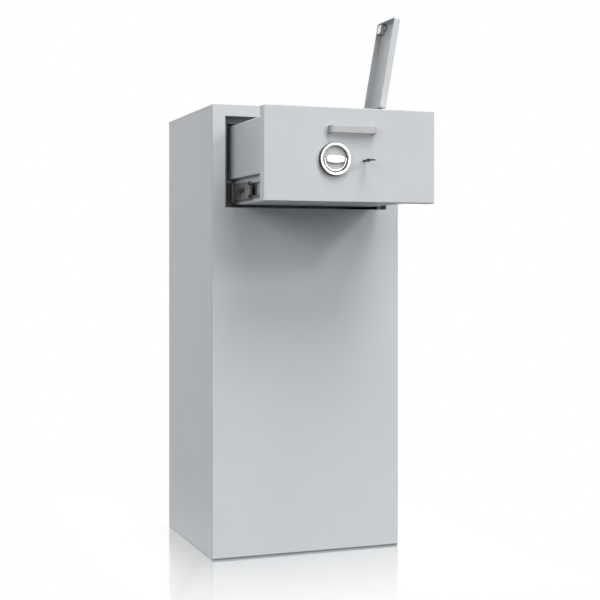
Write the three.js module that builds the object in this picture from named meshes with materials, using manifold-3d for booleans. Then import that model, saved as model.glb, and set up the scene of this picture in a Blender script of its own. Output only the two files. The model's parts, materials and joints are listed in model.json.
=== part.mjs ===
// A counter-height deposit safe, shown with its drawer pulled out and its deposit lid raised.
// Millimetres, +Z up, +X to the right, +Y to the back; the origin is the middle of the underside.
import * as THREE from "three";
import { mergeVertices } from "three/addons/utils/BufferGeometryUtils.js";
import Module from "manifold-3d";

// Clearance between pieces that are welded, screwed or seated on each other
const seam = 0.3;

// How far a cut runs past the face that it opens
const past = 1;

// What a slot's round ends fall short of its middle, so that no edge has zero length
const hair = 0.01;

// Cabinet
const cabinetWidth = 445;
const cabinetDepth = 390;
const cabinetHeight = 1000;
const shellSheet = 3;
const shellBend = 6;
const shellReturn = 18;
const frontSheet = 4;
const frontEdgeRadius = 2.5;
const topSheet = 4;
const baseSheet = 4;
const deckSheet = 2.5;
const deckFlange = 30;
const anchorRadius = 6.5;
const anchorInset = 60;

// Aperture in the front plate, and the rebate frame behind it
const apertureSide = 29.3;
const apertureTop = 25;
const apertureHeight = 201;
const rebateSetback = 26;
const rebateTopLip = 14.5;
const rebateSideLip = 11.5;
const rebateSheet = 3;

// Drawer front: a pan that fills the aperture
const drawerTravel = 256;
const frontMargin = 3.2;
const panDepth = 25;
const panSheet = 3;
const panEdgeRadius = 1.5;

// Telescopic slides: ball rows run in rolled races
const slideLength = 250;
const slideHeight = 45.7;
const slideInset = 18;
const slideAboveSill = 33;
const slideFrontSetback = 5;
const railSheet = 1.2;
const ballRadius = 1.9;
const raceClearance = 0.25;
const bracketSheet = 2;
const bracketFoot = 11;
const bracketHeight = 46;
const cageLength = 70;
const cageSheet = 0.5;
const innerStripDrop = 0.38;
const ballsPerRow = 5;
const innerWebGap = 2.1;
const outerSlotLength = 10;
const outerSlotHeight = 6;
const innerSlotLength = 3;
const innerSlotHeight = 7;
const innerSlotPlaces = [0.16, 0.4, 0.88];
const webHoleFromEnd = 67;
const webHoleLength = 44;
const webHoleHeight = 11;
const middleSetback = 12;
const tongueLength = 12;
const tongueHeight = 22;
const tongueCorner = 8;
const bufferSetback = 3;
const bufferLength = 17;
const bufferHeight = 23;
const bufferThickness = 2;

// Drawer body
const tubSheet = 1.5;
const tubLength = 310;
const tubTopDrop = 16.7;
const tubHem = 10;
const tubStepIn = 0.7;
const ledgeAboveSlide = 8;
const tubBackDrop = 12;
const tubBackInset = 0.5;

// Bolt housing behind the drawer front
const housingDepth = 47;
const boltRadius = 6;
const boltThrow = 14;
const boltFromEdge = 70;
const boltClearance = 0.4;
const boltBehindLip = 8;
const boltNose = 1;
const barSheet = 3;
const barWebHeight = 29;
const barFlangeDrop = 28;
const barOverhang = 12;
const studRadius = 2.2;
const studFromBolt = 30;
const studHeadRadius = 4.2;
const studHeadThickness = 2;

// Turning handle with its folding bail
const knobX = -38;
const controlsAboveEdge = 87.3;
const roseOuterRadius = 34;
const roseInnerRadius = 27.5;
const roseHeight = 10;
const roseOuterEdge = 0.6;
const roseInnerEdge = 2.4;
const dishThickness = 2;
const gripLength = 40;
const gripHeight = 17;
const gripEndHeight = 10.4;
const gripThickness = 6.6;
const bailRadius = 23.3;
const bailWidth = 3;
const bailThickness = 4;
const bailEyeRadius = 3;
const bailPinRadius = 1.5;
const spindleRadius = 5;
const spindleBeyondPinion = 2;
const bushWall = 2.8;
const bushFlange = 3;
const pinionTeeth = 14;
const pinionWidth = 6;
const rackAddendum = 0.8;
const toothDedendum = 1.25;
const rackDedendum = 1.2;
const pressureAngle = THREE.MathUtils.degToRad(20);
const backlash = 0.16;

// Key lock
const keyX = 30.2;
const caseWidth = 58;
const caseHeight = 60;
const caseDepth = 26;
const caseWall = 2.5;
const caseLeftOfKey = 26;
const caseCorner = 3;
const lockBoltHeight = 8.4;
const lockBoltThrow = 8;
const lockBoltLength = 29.5;
const lockBoltGap = 2;
const lockBoltBeyondCase = 15.5;
const notchGap = 0.6;
const coverSheet = 1.5;
const keyBelowHandle = 1.5;
const keyRadius = 2.2;
const keyReach = 40;
const keyDepth = 24;
const keyBowWidth = 20;
const keyBowLength = 18;
const keyBowHole = 4.2;
const keyHoleForward = 1;
const keyShaftInBow = 2;
const keyCollarRadius = 3.6;
const keyCollarLength = 3;
const keyThickness = 2.6;
const keyBitReach = 4.6;
const keyBitLength = 10;
const keyBitFromTip = 1;
const keyWardStep = 0.6;
const keyWardSlot = 1.6;
const keyWards = 3;
const hubRadius = 9;
const hubNoseRadius = 5.8;

// Pull handle
const pullX = -0.7;
const pullBelowEdge = 46.5;
const pullLength = 103;
const pullHeight = 16;
const pullReach = 19;
const pullSheet = 5;
const pullCorner = 8;
const pullScrewRadius = 2;
const pullScrewHead = 3.6;
const pullScrewHeadHeight = 2.4;
const pullScrewGrip = 8;

// Deposit lid and its throat in the top plate
const lidLength = 216.3;
const lidWidth = 99;
const lidDepth = 15;
const lidSheet = 1.5;
const lidCorner = 3;
const lidFromFront = 50;
const lidRunning = 0.5;
const lidOpenAngle = 100.1;
const hingeHeight = 12;
const hingeFromSide = 12.4;
const hingeRadius = 3;
const hingeSheet = 1.2;
const hingePinRadius = 1;
const hingeEdge = 2;
const leafFromEdge = 2;
const knuckles = 5;
const collarWall = 2;
const collarHeight = 11;
const collarDepth = 8;
const collarGap = 2.5;
const collarInset = 1;
const keeperPlay = 0.5;
const lidCaseLength = 22;
const lidCaseWidth = 20;
const lidCaseInset = 2;
const lidBoltWidth = 10;
const lidBoltHeight = 4;
const lidBoltLength = 15;
const lidCaseFloor = 0.7;
const lidCaseWall = 2.5;
const lidCylinderRadius = 5;
const lidCylinderHead = 7;
const lidCylinderFromEnd = 12.6;
const lidCylinderFromCase = 1.2;
const lidCylinderDepth = 6;
const lidCylinderHeadHeight = 1.5;
const lidKeySlotLength = 6.4;
const lidKeySlotWidth = 1.2;

// Places worked out from the sizes above
const frontY = -cabinetDepth / 2;
const backY = cabinetDepth / 2;
const sideX = cabinetWidth / 2;
const innerSideX = sideX - shellSheet;
const behindFront = frontY + frontSheet + seam;
const behindReturns = behindFront + shellSheet + seam;
const apertureX = sideX - apertureSide;
const apertureZ1 = cabinetHeight - apertureTop;
const apertureZ0 = apertureZ1 - apertureHeight;
const lipY0 = frontY + rebateSetback;
const lipY1 = lipY0 + rebateSheet;
const deckZ = apertureZ0 - rebateSheet - seam;
const panX = apertureX - frontMargin;
const panZ0 = apertureZ0 + frontMargin;
const panZ1 = apertureZ1 - frontMargin;
const controlZ = panZ0 + controlsAboveEdge;
const keyZ = controlZ - keyBelowHandle;
const pullZ = panZ1 - pullBelowEdge;
const panBackY = frontY + panSheet;
const raceRadius = ballRadius + raceClearance;
const raceLine = raceRadius + railSheet / 2;
const outerBall = new THREE.Vector2(railSheet + raceRadius, slideHeight / 2 - railSheet - raceRadius);
const raceTurn = THREE.MathUtils.degToRad(40);
const innerBall = outerBall
  .clone()
  .add(new THREE.Vector2(Math.cos(raceTurn), -Math.sin(raceTurn)).multiplyScalar(2 * raceLine));
const slideThickness = innerBall.x + raceRadius + railSheet + innerWebGap;
const middleWebAngle = THREE.MathUtils.degToRad(100);
const middleWeb = outerBall.x + raceLine * Math.cos(middleWebAngle) + railSheet / 2;
const slideX = apertureX - slideInset;
const slideZ = apertureZ0 + slideAboveSill;
const slideY0 = frontY + slideFrontSetback;
const tubUpperX = slideX - tubStepIn;
const tubLowerX = slideX - slideThickness - seam;
const tubTopZ = panZ1 - tubTopDrop;
const tubBottomZ = panZ0 + panSheet + seam;
const ledgeZ = slideZ + slideHeight / 2 + ledgeAboveSlide;
const tubY0 = panBackY + seam;
const tubY1 = tubY0 + tubLength;
const coverY0 = frontY + housingDepth;
const boltY = lipY1 + boltBehindLip;
const boltSpacing = 2 * (panX - boltFromEdge);
const studSpacing = boltSpacing - 2 * studFromBolt;
const coverTopZ = tubTopZ - tubSheet - seam;
const boltTopZ = coverTopZ - boltClearance;
const barTopZ = boltTopZ - barFlangeDrop;
const circularPitch = (boltThrow * 4) / pinionTeeth;
const pitchRadius = (circularPitch * pinionTeeth) / (2 * Math.PI);
const pinionModule = circularPitch / Math.PI;
const rackX = knobX + pitchRadius;
const caseX0 = keyX - caseLeftOfKey;
const caseY0 = panBackY + seam;
const caseY1 = caseY0 + caseDepth;
const barY = caseY0 + (caseDepth + caseWall) / 2;
const lockBoltX0 = caseX0 - lockBoltBeyondCase;
const legX1 = lockBoltX0 - lockBoltGap;
const hingeX = sideX - hingeFromSide;
const hingeZ = cabinetHeight + hingeHeight;
const lidX1 = -hingeRadius - seam;
const lidX0 = lidX1 - lidLength;
const lidY0 = frontY + lidFromFront;
const lidY1 = lidY0 + lidWidth;
const lidZ0 = lidRunning - hingeHeight;
const lidZ1 = lidZ0 + lidDepth;
const lidSweep = Math.hypot(lidX1 - lidSheet, lidZ0);
const lidCaseX0 = lidX0 + lidSheet + lidCaseInset;
const lidCaseX1 = lidCaseX0 + lidCaseLength;
const lidCaseY1 = lidY1 - lidSheet - seam;
const lidCaseY0 = lidCaseY1 - lidCaseWidth;
const lidBoltY = (lidCaseY0 + lidCaseY1) / 2;
const lidBoltZ = lidZ0 + lidCaseFloor + (lidCaseWall + lidBoltHeight) / 2;
const collarX0 = hingeX + lidCaseX1 + collarGap - collarInset;
const collarX1 = hingeX - lidSweep - collarInset;
const collarY0 = lidY0 + lidSheet + collarGap;
const collarY1 = lidY1 - lidSheet - collarGap;

// Finishes
const paint = new THREE.MeshStandardMaterial({ color: 0xb9bdbf, roughness: 0.55, metalness: 0.05 });
const innerPaint = new THREE.MeshStandardMaterial({ color: 0xa9acae, roughness: 0.6, metalness: 0.05 });
const zinc = new THREE.MeshStandardMaterial({ color: 0xb4b6b4, roughness: 0.35, metalness: 0.85 });
const steel = new THREE.MeshStandardMaterial({ color: 0x8f9294, roughness: 0.4, metalness: 0.9 });
const darkSteel = new THREE.MeshStandardMaterial({ color: 0x3b3c3e, roughness: 0.45, metalness: 0.8 });
const satin = new THREE.MeshStandardMaterial({ color: 0xe4e5e6, roughness: 0.3, metalness: 0.6 });
const gripMetal = new THREE.MeshStandardMaterial({ color: 0xbcb8b8, roughness: 0.4, metalness: 0.5 });
const dishMetal = new THREE.MeshStandardMaterial({ color: 0xc9cbcd, roughness: 0.6, metalness: 0.3 });
const brass = new THREE.MeshStandardMaterial({ color: 0xb08d57, roughness: 0.35, metalness: 0.9 });
const plastic = new THREE.MeshStandardMaterial({ color: 0x1d1e20, roughness: 0.6, metalness: 0 });

// Solids: three.js makes the shapes, and the library joins and cuts them
const wasm = await Module();
wasm.setup();

function solidOf(geometry) {
  const bare = new THREE.BufferGeometry();
  const loose = geometry.index ? geometry.toNonIndexed() : geometry;
  bare.setAttribute("position", loose.getAttribute("position"));
  const merged = mergeVertices(bare, 1e-4);
  const corners = merged.index.array;
  const triangles = [];
  for (let i = 0; i < corners.length; i += 3) {
    const [a, b, c] = corners.slice(i, i + 3);
    if (a !== b && b !== c && c !== a) triangles.push(a, b, c);
  }
  return new wasm.Manifold(
    new wasm.Mesh({
      numProp: 3,
      vertProperties: merged.getAttribute("position").array,
      triVerts: new Uint32Array(triangles),
    }),
  );
}

function join(...geometries) {
  return geometries.map(solidOf).reduce((whole, next) => whole.add(next));
}

function cut(solid, ...geometries) {
  return geometries.map(solidOf).reduce((whole, next) => whole.subtract(next), solid);
}

function piece(name, solid, material) {
  const made = solid.getMesh();
  const geometry = new THREE.BufferGeometry();
  geometry.setAttribute("position", new THREE.BufferAttribute(made.vertProperties, 3));
  geometry.setIndex(new THREE.BufferAttribute(made.triVerts, 1));
  const faceted = geometry.toNonIndexed();
  faceted.computeVertexNormals();
  const mesh = new THREE.Mesh(faceted, material);
  mesh.name = name;
  return mesh;
}

// Outlines are lists of [a, b]; a prism's outline lies across the axis that it runs along
const alongX = new THREE.Matrix4().makeBasis(
  new THREE.Vector3(0, 1, 0),
  new THREE.Vector3(0, 0, 1),
  new THREE.Vector3(1, 0, 0),
);
const alongY = new THREE.Matrix4().makeBasis(
  new THREE.Vector3(1, 0, 0),
  new THREE.Vector3(0, 0, 1),
  new THREE.Vector3(0, -1, 0),
);

function vectors(outline) {
  return outline.map(([a, b]) => new THREE.Vector2(a, b));
}

function extruded(outline, length, holes) {
  const shape = new THREE.Shape(vectors(outline));
  holes.forEach((hole) => shape.holes.push(new THREE.Path(vectors(hole))));
  return new THREE.ExtrudeGeometry(shape, { depth: length, bevelEnabled: false });
}

function prismX(outline, x0, x1, holes = []) {
  return extruded(outline, x1 - x0, holes).applyMatrix4(alongX).translate(x0, 0, 0);
}

function prismY(outline, y0, y1, holes = []) {
  return extruded(outline, y1 - y0, holes).applyMatrix4(alongY).translate(0, y1, 0);
}

function prismZ(outline, z0, z1, holes = []) {
  return extruded(outline, z1 - z0, holes).translate(0, 0, z0);
}

function block(x0, x1, y0, y1, z0, z1) {
  return new THREE.BoxGeometry(x1 - x0, y1 - y0, z1 - z0).translate(
    (x0 + x1) / 2,
    (y0 + y1) / 2,
    (z0 + z1) / 2,
  );
}

function rodX(radius, x0, x1, y, z, sides = 20) {
  return new THREE.CylinderGeometry(radius, radius, x1 - x0, sides)
    .rotateZ(Math.PI / 2)
    .translate((x0 + x1) / 2, y, z);
}

function rodY(radius, x, y0, y1, z, sides = 20) {
  return new THREE.CylinderGeometry(radius, radius, y1 - y0, sides).translate(x, (y0 + y1) / 2, z);
}

function rodZ(radius, x, y, z0, z1, sides = 24) {
  return new THREE.CylinderGeometry(radius, radius, z1 - z0, sides)
    .rotateX(Math.PI / 2)
    .translate(x, y, (z0 + z1) / 2);
}

// A ring turned about Y, its profile a list of [radius, distance towards the user]
function turnedY(profile, x, y, z, sides = 32) {
  const closed = vectors([...profile, profile[0]]);
  return new THREE.LatheGeometry(closed, sides).rotateX(Math.PI).translate(x, y, z);
}

function arc(x, y, radius, start, end, steps) {
  return Array.from({ length: steps + 1 }, (_, i) => {
    const angle = THREE.MathUtils.degToRad(start + ((end - start) * i) / steps);
    return [x + radius * Math.cos(angle), y + radius * Math.sin(angle)];
  });
}

function rectangle(x0, y0, x1, y1, radius = 0, steps = 4) {
  if (radius <= 0) {
    return [
      [x0, y0],
      [x1, y0],
      [x1, y1],
      [x0, y1],
    ];
  }
  return [
    ...arc(x1 - radius, y0 + radius, radius, -90, 0, steps),
    ...arc(x1 - radius, y1 - radius, radius, 0, 90, steps),
    ...arc(x0 + radius, y1 - radius, radius, 90, 180, steps),
    ...arc(x0 + radius, y0 + radius, radius, 180, 270, steps),
  ];
}

// Rounds the inner corners of an open path, as a press brake rounds a fold
function folded(path, radius, steps = 3) {
  const points = vectors(path);
  const out = [points[0]];
  for (let i = 1; i < points.length - 1; i += 1) {
    const before = points[i - 1].clone().sub(points[i]).normalize();
    const after = points[i + 1].clone().sub(points[i]).normalize();
    const half = Math.acos(THREE.MathUtils.clamp(before.dot(after), -1, 1)) / 2;
    const reach = radius / Math.tan(half);
    const a = points[i].clone().addScaledVector(before, reach);
    const b = points[i].clone().addScaledVector(after, reach);
    const centre = points[i]
      .clone()
      .addScaledVector(before.clone().add(after).normalize(), radius / Math.sin(half));
    const from = a.clone().sub(centre);
    const turn = Math.atan2(from.cross(b.clone().sub(centre)), from.dot(b.clone().sub(centre)));
    for (let k = 0; k <= steps; k += 1) {
      out.push(from.clone().rotateAround(new THREE.Vector2(), (turn * k) / steps).add(centre));
    }
  }
  out.push(points[points.length - 1]);
  return out.map((p) => [p.x, p.y]);
}

// The outline of sheet of one thickness that follows an open path
function ribbon(path, thickness) {
  const points = vectors(path);
  const sides = [[], []];
  points.forEach((point, i) => {
    const inwards = i > 0 ? point.clone().sub(points[i - 1]).normalize() : null;
    const outwards = i < points.length - 1 ? points[i + 1].clone().sub(point).normalize() : null;
    const along = (inwards ?? outwards).clone().add(outwards ?? inwards).normalize();
    const normal = new THREE.Vector2(-along.y, along.x);
    const lean = normal.dot(new THREE.Vector2(-(inwards ?? outwards).y, (inwards ?? outwards).x));
    const offset = thickness / 2 / lean;
    sides[0].push(point.clone().addScaledVector(normal, offset));
    sides[1].push(point.clone().addScaledVector(normal, -offset));
  });
  return [...sides[0], ...sides[1].reverse()].map((p) => [p.x, p.y]);
}

function mirrored(path) {
  return path.map(([a, b]) => [-a, b]).reverse();
}

// Cabinet pieces
function cabinetShell() {
  const half = shellSheet / 2;
  const side = sideX - half;
  const left = [
    [half - sideX + shellReturn, behindFront + half],
    [-side, behindFront + half],
    [-side, backY - half],
  ];
  const path = folded([...left, ...mirrored(left)], shellBend - half);
  const height = cabinetHeight - topSheet - seam;
  return piece("cabinet_shell", join(prismZ(ribbon(path, shellSheet), 0, height)), paint);
}

function frontPlate() {
  const opening = rectangle(-apertureX, apertureZ0, apertureX, apertureZ1);
  const face = join(
    prismY(rectangle(-sideX, 0, sideX, cabinetHeight), frontY, frontY + frontSheet, [opening]),
  );
  const plan = [
    ...arc(-sideX + frontEdgeRadius, frontY + frontEdgeRadius, frontEdgeRadius, 180, 270, 4),
    ...arc(sideX - frontEdgeRadius, frontY + frontEdgeRadius, frontEdgeRadius, 270, 360, 4),
    [sideX, frontY + frontSheet],
    [-sideX, frontY + frontSheet],
  ];
  const section = [
    [frontY, 0],
    [frontY + frontSheet, 0],
    [frontY + frontSheet, cabinetHeight],
    ...arc(frontY + frontEdgeRadius, cabinetHeight - frontEdgeRadius, frontEdgeRadius, 90, 180, 4),
  ];
  const rounded = face
    .intersect(solidOf(prismZ(plan, 0, cabinetHeight)))
    .intersect(solidOf(prismX(section, -sideX, sideX)));
  return piece("front_plate", rounded, paint);
}

function rebateFrame() {
  const opening = rectangle(-apertureX, apertureZ0, apertureX, apertureZ1);
  const outside = rectangle(
    -apertureX - rebateSheet,
    apertureZ0 - rebateSheet,
    apertureX + rebateSheet,
    apertureZ1 + rebateSheet,
  );
  const lip = [
    [-apertureX - rebateSheet, apertureZ0 - rebateSheet],
    [-apertureX + rebateSideLip, apertureZ0 - rebateSheet],
    [-apertureX + rebateSideLip, apertureZ1 - rebateTopLip],
    [apertureX - rebateSideLip, apertureZ1 - rebateTopLip],
    [apertureX - rebateSideLip, apertureZ0 - rebateSheet],
    [apertureX + rebateSheet, apertureZ0 - rebateSheet],
    [apertureX + rebateSheet, apertureZ1 + rebateSheet],
    [-apertureX - rebateSheet, apertureZ1 + rebateSheet],
  ];
  const walls = prismY(outside, behindFront, lipY1, [opening]);
  return piece("rebate_frame", join(walls, prismY(lip, lipY0, lipY1)), paint);
}

// The lid's throat through the top plate
function collarOutline(offset) {
  return rectangle(
    collarX0 - offset,
    collarY0 - offset,
    collarX1 + offset,
    collarY1 + offset,
    shellBend + offset,
  );
}

function topPlate() {
  const plan = [
    [-sideX, behindFront],
    [sideX, behindFront],
    ...arc(sideX - shellBend, backY - shellBend, shellBend, 0, 90, 4),
    ...arc(-sideX + shellBend, backY - shellBend, shellBend, 90, 180, 4),
  ];
  const plate = prismZ(plan, cabinetHeight - topSheet, cabinetHeight, [collarOutline(seam)]);
  return piece("top_plate", join(plate), paint);
}

function depositCollar() {
  const wall = join(
    prismZ(collarOutline(0), cabinetHeight - collarDepth, cabinetHeight + collarHeight, [
      collarOutline(-collarWall),
    ]),
  );
  const half = lidBoltHeight / 2 + keeperPlay;
  const keeper = block(
    collarX0 - past,
    collarX0 + collarWall + past,
    lidBoltY - lidBoltWidth / 2 - keeperPlay,
    lidBoltY + lidBoltWidth / 2 + keeperPlay,
    hingeZ + lidBoltZ - half,
    hingeZ + lidBoltZ + half,
  );
  return piece("deposit_collar", cut(wall, keeper), paint);
}

// Plan of a plate that lies inside the shell, behind its returns
function insideShell() {
  const x = innerSideX - seam;
  return rectangle(-x, behindReturns, x, backY - shellSheet - seam, shellBend);
}

function basePlate() {
  const x = innerSideX - seam;
  const y1 = backY - shellSheet - seam;
  const plate = join(prismZ(insideShell(), 0, baseSheet));
  const holes = [-1, 1].flatMap((sx) =>
    [behindReturns + anchorInset, y1 - anchorInset].map((y) =>
      rodZ(anchorRadius, sx * (x - anchorInset), y, -past, baseSheet + past),
    ),
  );
  return piece("base_plate", cut(plate, ...holes), innerPaint);
}

function drawerDeck() {
  const half = deckSheet / 2;
  const path = [
    [behindReturns + half, deckZ - deckFlange],
    [behindReturns + half, deckZ - half],
    [backY - shellSheet - seam, deckZ - half],
  ];
  const x = innerSideX - seam;
  const bent = join(prismX(ribbon(folded(path, deckSheet), deckSheet), -x, x));
  const plan = prismZ(insideShell(), 0, cabinetHeight);
  return piece("drawer_deck", bent.intersect(solidOf(plan)), innerPaint);
}

// Hat-section bracket that carries one slide off the side wall
function slideBracket(name, side) {
  const half = bracketSheet / 2;
  const wall = innerSideX - seam - half;
  const web = slideX + seam + half;
  const reach = bracketHeight / 2 - half;
  const upper = [
    [side * wall, slideZ + reach + bracketFoot],
    [side * wall, slideZ + reach],
    [side * web, slideZ + reach],
  ];
  const lower = [
    [side * web, slideZ - reach],
    [side * wall, slideZ - reach],
    [side * wall, slideZ - reach - bracketFoot],
  ];
  const outline = ribbon(folded([...upper, ...lower], bracketSheet), bracketSheet);
  const y1 = slideY0 + slideLength;
  return piece(name, join(prismY(outline, lipY1 + seam, y1)), innerPaint);
}

// Slide members: a path of [distance in from the slide's outer face, height above its middle]
function outerMemberPath() {
  const top = arc(outerBall.x, outerBall.y, raceLine, 12, 180, 9);
  return [...top, ...top.map(([s, z]) => [s, -z]).reverse()];
}

function middleMemberPath() {
  const turn = THREE.MathUtils.radToDeg(raceTurn);
  const groove = arc(outerBall.x, outerBall.y, raceLine, -turn, -100, 4);
  const crown = arc(innerBall.x, innerBall.y, raceLine, 25, 180 - turn, 7);
  const top = [...crown, ...groove.slice(1)];
  return [...top, ...top.map(([s, z]) => [s, -z]).reverse()];
}

function innerMemberPath() {
  const webLine = slideThickness - railSheet / 2;
  const race = arc(innerBall.x, innerBall.y, raceLine, -150, -90, 4);
  const corner = [webLine, race[4][1]];
  const top = [...race, ...folded([race[4], corner, [webLine, 0]], railSheet).slice(1, -1)];
  return [...top, ...top.map(([s, z]) => [s, -z]).reverse()];
}

function rail(path, side, y0, y1) {
  const outline = ribbon(path, railSheet).map(([s, z]) => [side * (slideX - s), slideZ + z]);
  return join(prismY(outline, y0, y1));
}

// A cut right through one slide, its outline seen from the side
function throughSlide(side, outline) {
  const xs = [side * (slideX + past), side * (slideX - slideThickness - past)].sort((a, b) => a - b);
  return prismX(outline, ...xs);
}

function railSlot(side, y, length, height) {
  const radius = Math.min(length, height) / 2 - hair;
  const z = slideZ;
  const outline = rectangle(y - length / 2, z - height / 2, y + length / 2, z + height / 2, radius);
  return throughSlide(side, outline);
}

// Cuts a rail's races back at its front end, so that its web is left as a rounded tongue
function tongueCut(side, y0) {
  const y1 = y0 + tongueLength;
  const r = tongueCorner;
  const z0 = slideZ - tongueHeight / 2;
  const z1 = slideZ + tongueHeight / 2;
  const outline = [
    [y0 - past, slideZ - slideHeight / 2],
    [y1, slideZ - slideHeight / 2],
    [y1, z0],
    ...arc(y0 + r, z0 + r, r, 270, 180, 5),
    ...arc(y0 + r, z1 - r, r, 180, 90, 5),
    [y1, z1],
    [y1, slideZ + slideHeight / 2],
    [y0 - past, slideZ + slideHeight / 2],
  ];
  return throughSlide(side, outline);
}

function outerMember(name, side) {
  const y1 = slideY0 + slideLength;
  const slots = [slideY0 + slideLength / 4, y1 - slideLength / 4].map((y) =>
    railSlot(side, y, outerSlotLength, outerSlotHeight),
  );
  return piece(name, cut(rail(outerMemberPath(), side, slideY0, y1), ...slots), zinc);
}

function middleMember(name, side) {
  const y0 = slideY0 + middleSetback;
  const y1 = slideY0 + slideLength;
  const cuts = [
    railSlot(side, slideY0 + webHoleFromEnd, webHoleLength, webHoleHeight),
    railSlot(side, y1 - webHoleFromEnd, webHoleLength, webHoleHeight),
    tongueCut(side, y0),
  ];
  return piece(name, cut(rail(middleMemberPath(), side, y0, y1), ...cuts), zinc);
}

// Block on the middle member's tongue that stops the drawer softly
function slideBuffer(name, side) {
  const y0 = slideY0 + bufferSetback;
  const xs = [middleWeb + seam, middleWeb + seam + bufferThickness].map((s) => side * (slideX - s));
  const [x0, x1] = xs.sort((a, b) => a - b);
  const z0 = slideZ - bufferHeight / 2;
  const body = block(x0, x1, y0, y0 + bufferLength, z0, z0 + bufferHeight);
  return piece(name, join(body), plastic);
}

function innerMember(name, side) {
  const y1 = slideY0 + slideLength;
  const slots = innerSlotPlaces.map((share) =>
    railSlot(side, slideY0 + share * slideLength, innerSlotLength, innerSlotHeight),
  );
  return piece(name, cut(rail(innerMemberPath(), side, slideY0, y1), ...slots), zinc);
}

// Two rows of balls held in one strip, which runs between two members
function ballCage(name, side, ball, webLine, stripZ, y0) {
  const path = [
    [ball.x, stripZ],
    [webLine, stripZ],
    [webLine, -stripZ],
    [ball.x, -stripZ],
  ];
  const strip = ribbon(path, cageSheet).map(([s, z]) => [side * (slideX - s), slideZ + z]);
  const pitch = cageLength / ballsPerRow;
  const balls = [];
  for (let i = 0; i < ballsPerRow; i += 1) {
    const y = y0 + pitch * (i + 0.5);
    for (const row of [1, -1]) {
      balls.push(
        new THREE.SphereGeometry(ballRadius, 6, 5).translate(
          side * (slideX - ball.x),
          y,
          slideZ + row * ball.y,
        ),
      );
    }
  }
  return piece(name, join(prismY(strip, y0, y0 + cageLength), ...balls), steel);
}

// The cages lie in the middle of the overlap that is left when the drawer is out
const cageY0 = slideY0 + (slideLength - drawerTravel / 2 - cageLength) / 2 + drawerTravel / 4;

function outerCage(name, side) {
  return ballCage(name, side, outerBall, railSheet + seam + cageSheet / 2, outerBall.y, cageY0);
}

function innerCage(name, side) {
  const webLine = middleWeb + seam + cageSheet / 2;
  return ballCage(name, side, innerBall, webLine, innerBall.y - innerStripDrop, cageY0);
}

// Drawer pieces, placed as in the closed drawer
function hubHole(y0, y1) {
  return rodY(hubNoseRadius + seam, keyX, y0, y1, keyZ);
}

function pullPosts() {
  const reach = pullLength / 2 - pullSheet / 2;
  return [pullX - reach, pullX + reach];
}

function drawerFrontPan() {
  const y0 = frontY - past;
  const y1 = frontY + panDepth;
  const y2 = panBackY + past;
  const outer = join(prismY(rectangle(-panX, panZ0, panX, panZ1, panEdgeRadius, 3), frontY, y1));
  const inset = panSheet;
  const hollow = block(-panX + inset, panX - inset, panBackY, y1 + past, panZ0 + inset, panZ1 - inset);
  const through = [
    rodY(spindleRadius + bushWall + 2 * seam, knobX, y0, y2, controlZ),
    hubHole(y0, y2),
    ...pullPosts().map((x) => rodY(pullScrewRadius + seam, x, y0, y2, pullZ, 12)),
  ];
  return piece("drawer_front_pan", cut(outer, hollow, ...through), paint);
}

function drawerTub() {
  const half = tubSheet / 2;
  const left = [
    [half - tubUpperX + tubHem, tubTopZ - half],
    [half - tubUpperX, tubTopZ - half],
    [half - tubUpperX, ledgeZ],
    [half - tubLowerX, ledgeZ],
    [half - tubLowerX, tubBottomZ + half],
  ];
  const path = folded([...left, ...mirrored(left)], tubSheet, 2);
  return piece("drawer_tub", join(prismY(ribbon(path, tubSheet), tubY0, tubY1)), paint);
}

// A plate that fills the stepped inside of the drawer body up to a height
function tubPlate(top, y0, y1) {
  const wide = tubUpperX - tubSheet - seam;
  const narrow = tubLowerX - tubSheet - seam;
  const floor = tubBottomZ + tubSheet + seam;
  const step = ledgeZ + tubSheet / 2 + seam;
  const relief = tubSheet * 2;
  const outline = [
    [-narrow + relief, floor],
    [narrow - relief, floor],
    [narrow, floor + relief],
    [narrow, step],
    [wide, step + relief],
    [wide, top],
    [-wide, top],
    [-wide, step + relief],
    [-narrow, step],
    [-narrow, floor + relief],
  ];
  return prismY(outline, y0, y1);
}

function drawerBack() {
  const y1 = tubY1 - tubBackInset;
  return piece("drawer_back", join(tubPlate(tubTopZ - tubBackDrop, y1 - tubSheet, y1)), paint);
}

function boltworkCover() {
  const x = tubUpperX - tubSheet - seam;
  const top = block(-x, x, tubY0, coverY0 + tubSheet, coverTopZ - tubSheet, coverTopZ);
  const holes = [-1, 1].map((side) =>
    rodZ(
      boltRadius + boltClearance,
      (side * boltSpacing) / 2,
      boltY,
      coverTopZ - tubSheet - past,
      coverTopZ + past,
    ),
  );
  const plate = tubPlate(coverTopZ, coverY0, coverY0 + tubSheet);
  return piece("boltwork_cover", cut(join(top, plate), ...holes), innerPaint);
}

function pullHandle() {
  const half = pullSheet / 2;
  const [x0, x1] = pullPosts();
  const foot = frontY - seam;
  const bar = foot - pullReach + half;
  const path = folded(
    [
      [x0, foot],
      [x0, bar],
      [x1, bar],
      [x1, foot],
    ],
    pullCorner - half,
    6,
  );
  const handle = join(prismZ(ribbon(path, pullSheet), pullZ - pullHeight / 2, pullZ + pullHeight / 2));
  const bores = [x0, x1].map((x) =>
    rodY(pullScrewRadius + seam / 2, x, foot - pullScrewGrip - past, foot + past, pullZ, 12),
  );
  return piece("pull_handle", cut(handle, ...bores), gripMetal);
}

function pullScrew(name, x) {
  const seat = panBackY + seam;
  const shankEnd = seat + pullScrewHeadHeight / 2;
  const shank = rodY(pullScrewRadius, x, frontY - pullScrewGrip, shankEnd, pullZ, 12);
  const head = rodY(pullScrewHead, x, seat, seat + pullScrewHeadHeight, pullZ, 12);
  return piece(name, join(shank, head), steel);
}

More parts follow.
